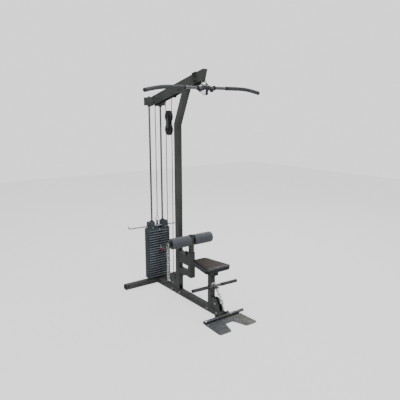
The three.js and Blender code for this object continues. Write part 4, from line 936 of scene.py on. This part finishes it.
# spare chain on the shaft's left end pin: snap link, large ring, then links
bm = bmesh.new()
X, Y = -0.256, 0.0275
carabiner_bm(bm, (X, Y, 0.600), (X, Y, 0.535), 0.027, 0.0034, (1, 0, 0))
oval_link_bm(bm, (X, Y, 0.508), (0, 0, 1), (0.5, -0.8, 0), 0.058, 0.036, 0.0046, 12, 32)
chain_bm(bm, line((X, Y, 0.486), (X, Y, 0.264), 20), 0.0280, 0.0190, 0.0040, 0.35)
finish_obj("spare_chain_links", from_bm(bm, "c"), "link", "spare_chain", 60, ("spare_chain",))

# ------------------------------------------------------------------ foot plate
FX = -0.021
ol = [(-190, -690), (-194, -714), (-203, -900), (-190, -918), (-90, -918), (-78, -906), (-44, -797), (-32, -786), (32, -786), (44, -797), (78, -906), (90, -918), (190, -918), (203, -900), (194, -714), (190, -690)]
refine("foot_plate", "tread", "foot_plate", [(lambda e, a, b: e.calc_length() > 0.015 and a.z < 0.0096 and b.z < 0.0096 and abs(a.z - b.z) < 1e-4 and a.z > 0.009, 0.0008, 2)], 35)
poly = [(x / 1000 + FX, (y + 232.5) / 1000) for x, y in ol]


def inside(px, py, margin=0.007):
    c = False; n = len(poly); dmin = 9
    for i in range(n):
        (xa, ya), (xb, yb) = poly[i], poly[(i + 1) % n]
        if (ya > py) != (yb > py) and px < (xb - xa) * (py - ya) / (yb - ya) + xa:
            c = not c
        dx, dy = xb - xa, yb - ya; t = max(0, min(1, ((px - xa) * dx + (py - ya) * dy) / (dx * dx + dy * dy)))
        dmin = min(dmin, math.hypot(px - xa - t * dx, py - ya - t * dy))
    return c and dmin > margin


bm = bmesh.new(); pitch_t = 0.0205; k = 0
for i in range(-24, 25):
    for j in range(-24, 25):
        x = FX + (i + j) * pitch_t / 2; y = -0.562 + (i - j) * pitch_t / 2
        if not inside(x, y) or (y > -0.474 and abs(x) > 0.0):
            continue
        a = rad(45 if (i + j) % 2 else -45) ; ca, sa = math.cos(a), math.sin(a)
        base = [(0.0088, 0), (0.003, 0.0030), (-0.003, 0.0030), (-0.0088, 0), (-0.003, -0.0030), (0.003, -0.0030)]
        lo = [bm.verts.new((x + p * ca - q * sa, y + p * sa + q * ca, 0.0094)) for p, q in base]
        hi = [bm.verts.new((x + (p * ca - q * sa) * 0.62, y + (p * sa + q * ca) * 0.62, 0.0109)) for p, q in base]
        for q in range(6):
            bm.faces.new((lo[q], lo[(q + 1) % 6], hi[(q + 1) % 6], hi[q]))
        bm.faces.new(hi); bm.faces.new(list(reversed(lo)))
finish_obj("tread_pattern", from_bm(bm, "t"), "tread", "foot_plate", 25)
# bright sleeves of the hinge
for s, tag, x0, x1 in ((-1, "left", -0.2142, -0.0660), (1, "right", 0.0660, 0.2142)):
    bm = bmesh.new()
    lathe_bm(bm, [(0.0082, x0), (0.0128, x0), (0.0136, x0 + 0.0010), (0.0136, x1 - 0.0010), (0.0128, x1), (0.0082, x1)], (0, -0.4575, 0.023), (1, 0, 0), 36, True)
    finish_obj("hinge_sleeve_" + tag, from_bm(bm, "s"), "sleeve", "foot_plate", 40)
bm = bmesh.new()
for x in (-0.1980, 0.1500):
    for s in (1,):
        bolt_bm(bm, (x, -0.490, 0.0095), (0, 0, 1), 12, 4)
finish_obj("plate_bolts", from_bm(bm, "b"), "bolt", "foot_plate", 30)
bm = bmesh.new()
for s in (-1, 1):
    lathe_bm(bm, [(0, 0.2145), (0.0105, 0.2145), (0.0118, 0.2155), (0.0118, 0.2185), (0.0095, 0.2205), (0, 0.221)], (0, -0.4575, 0.023), (s, 0, 0), 28)
finish_obj("hinge_rod_ends", from_bm(bm, "b"), "black", "frame", 40)
welds("hinge_welds", square_weld(L(0, -655.2, 27), 0.0268, 0.0262, "y", 0.0024), "frame")

# ------------------------------------------------------------------ floor
me = bpy.data.meshes.new("floor")
me.from_pydata([(-9, -9, 0), (9, -9, 0), (9, 9, 0), (-9, 9, 0)], [], [(0, 1, 2, 3)])
fl = bpy.data.objects.new("floor", me); bpy.context.scene.collection.objects.link(fl)
s = N("floor")
s.out(s.mix(s.rng(s.noise(0.7, 2), 0, 1), (0.50, 0.50, 0.50), (0.52, 0.52, 0.52)), 0.85)
# the sweep is lit to white where it is seen, and keeps a faint contact shadow
glow = s.n("ShaderNodeEmission"); add = s.n("ShaderNodeAddShader"); lpf = s.n("ShaderNodeLightPath"); amt = s.n("ShaderNodeMath", operation="MULTIPLY")
amt.inputs[1].default_value = 1.05; s.link(lpf.outputs["Is Camera Ray"], amt.inputs[0]); s.link(amt.outputs[0], glow.inputs["Strength"])
s.link(s.b.outputs[0], add.inputs[0]); s.link(glow.outputs[0], add.inputs[1]); s.link(add.outputs[0], s.t.nodes["Material Output"].inputs["Surface"])
me.materials.append(s.m)
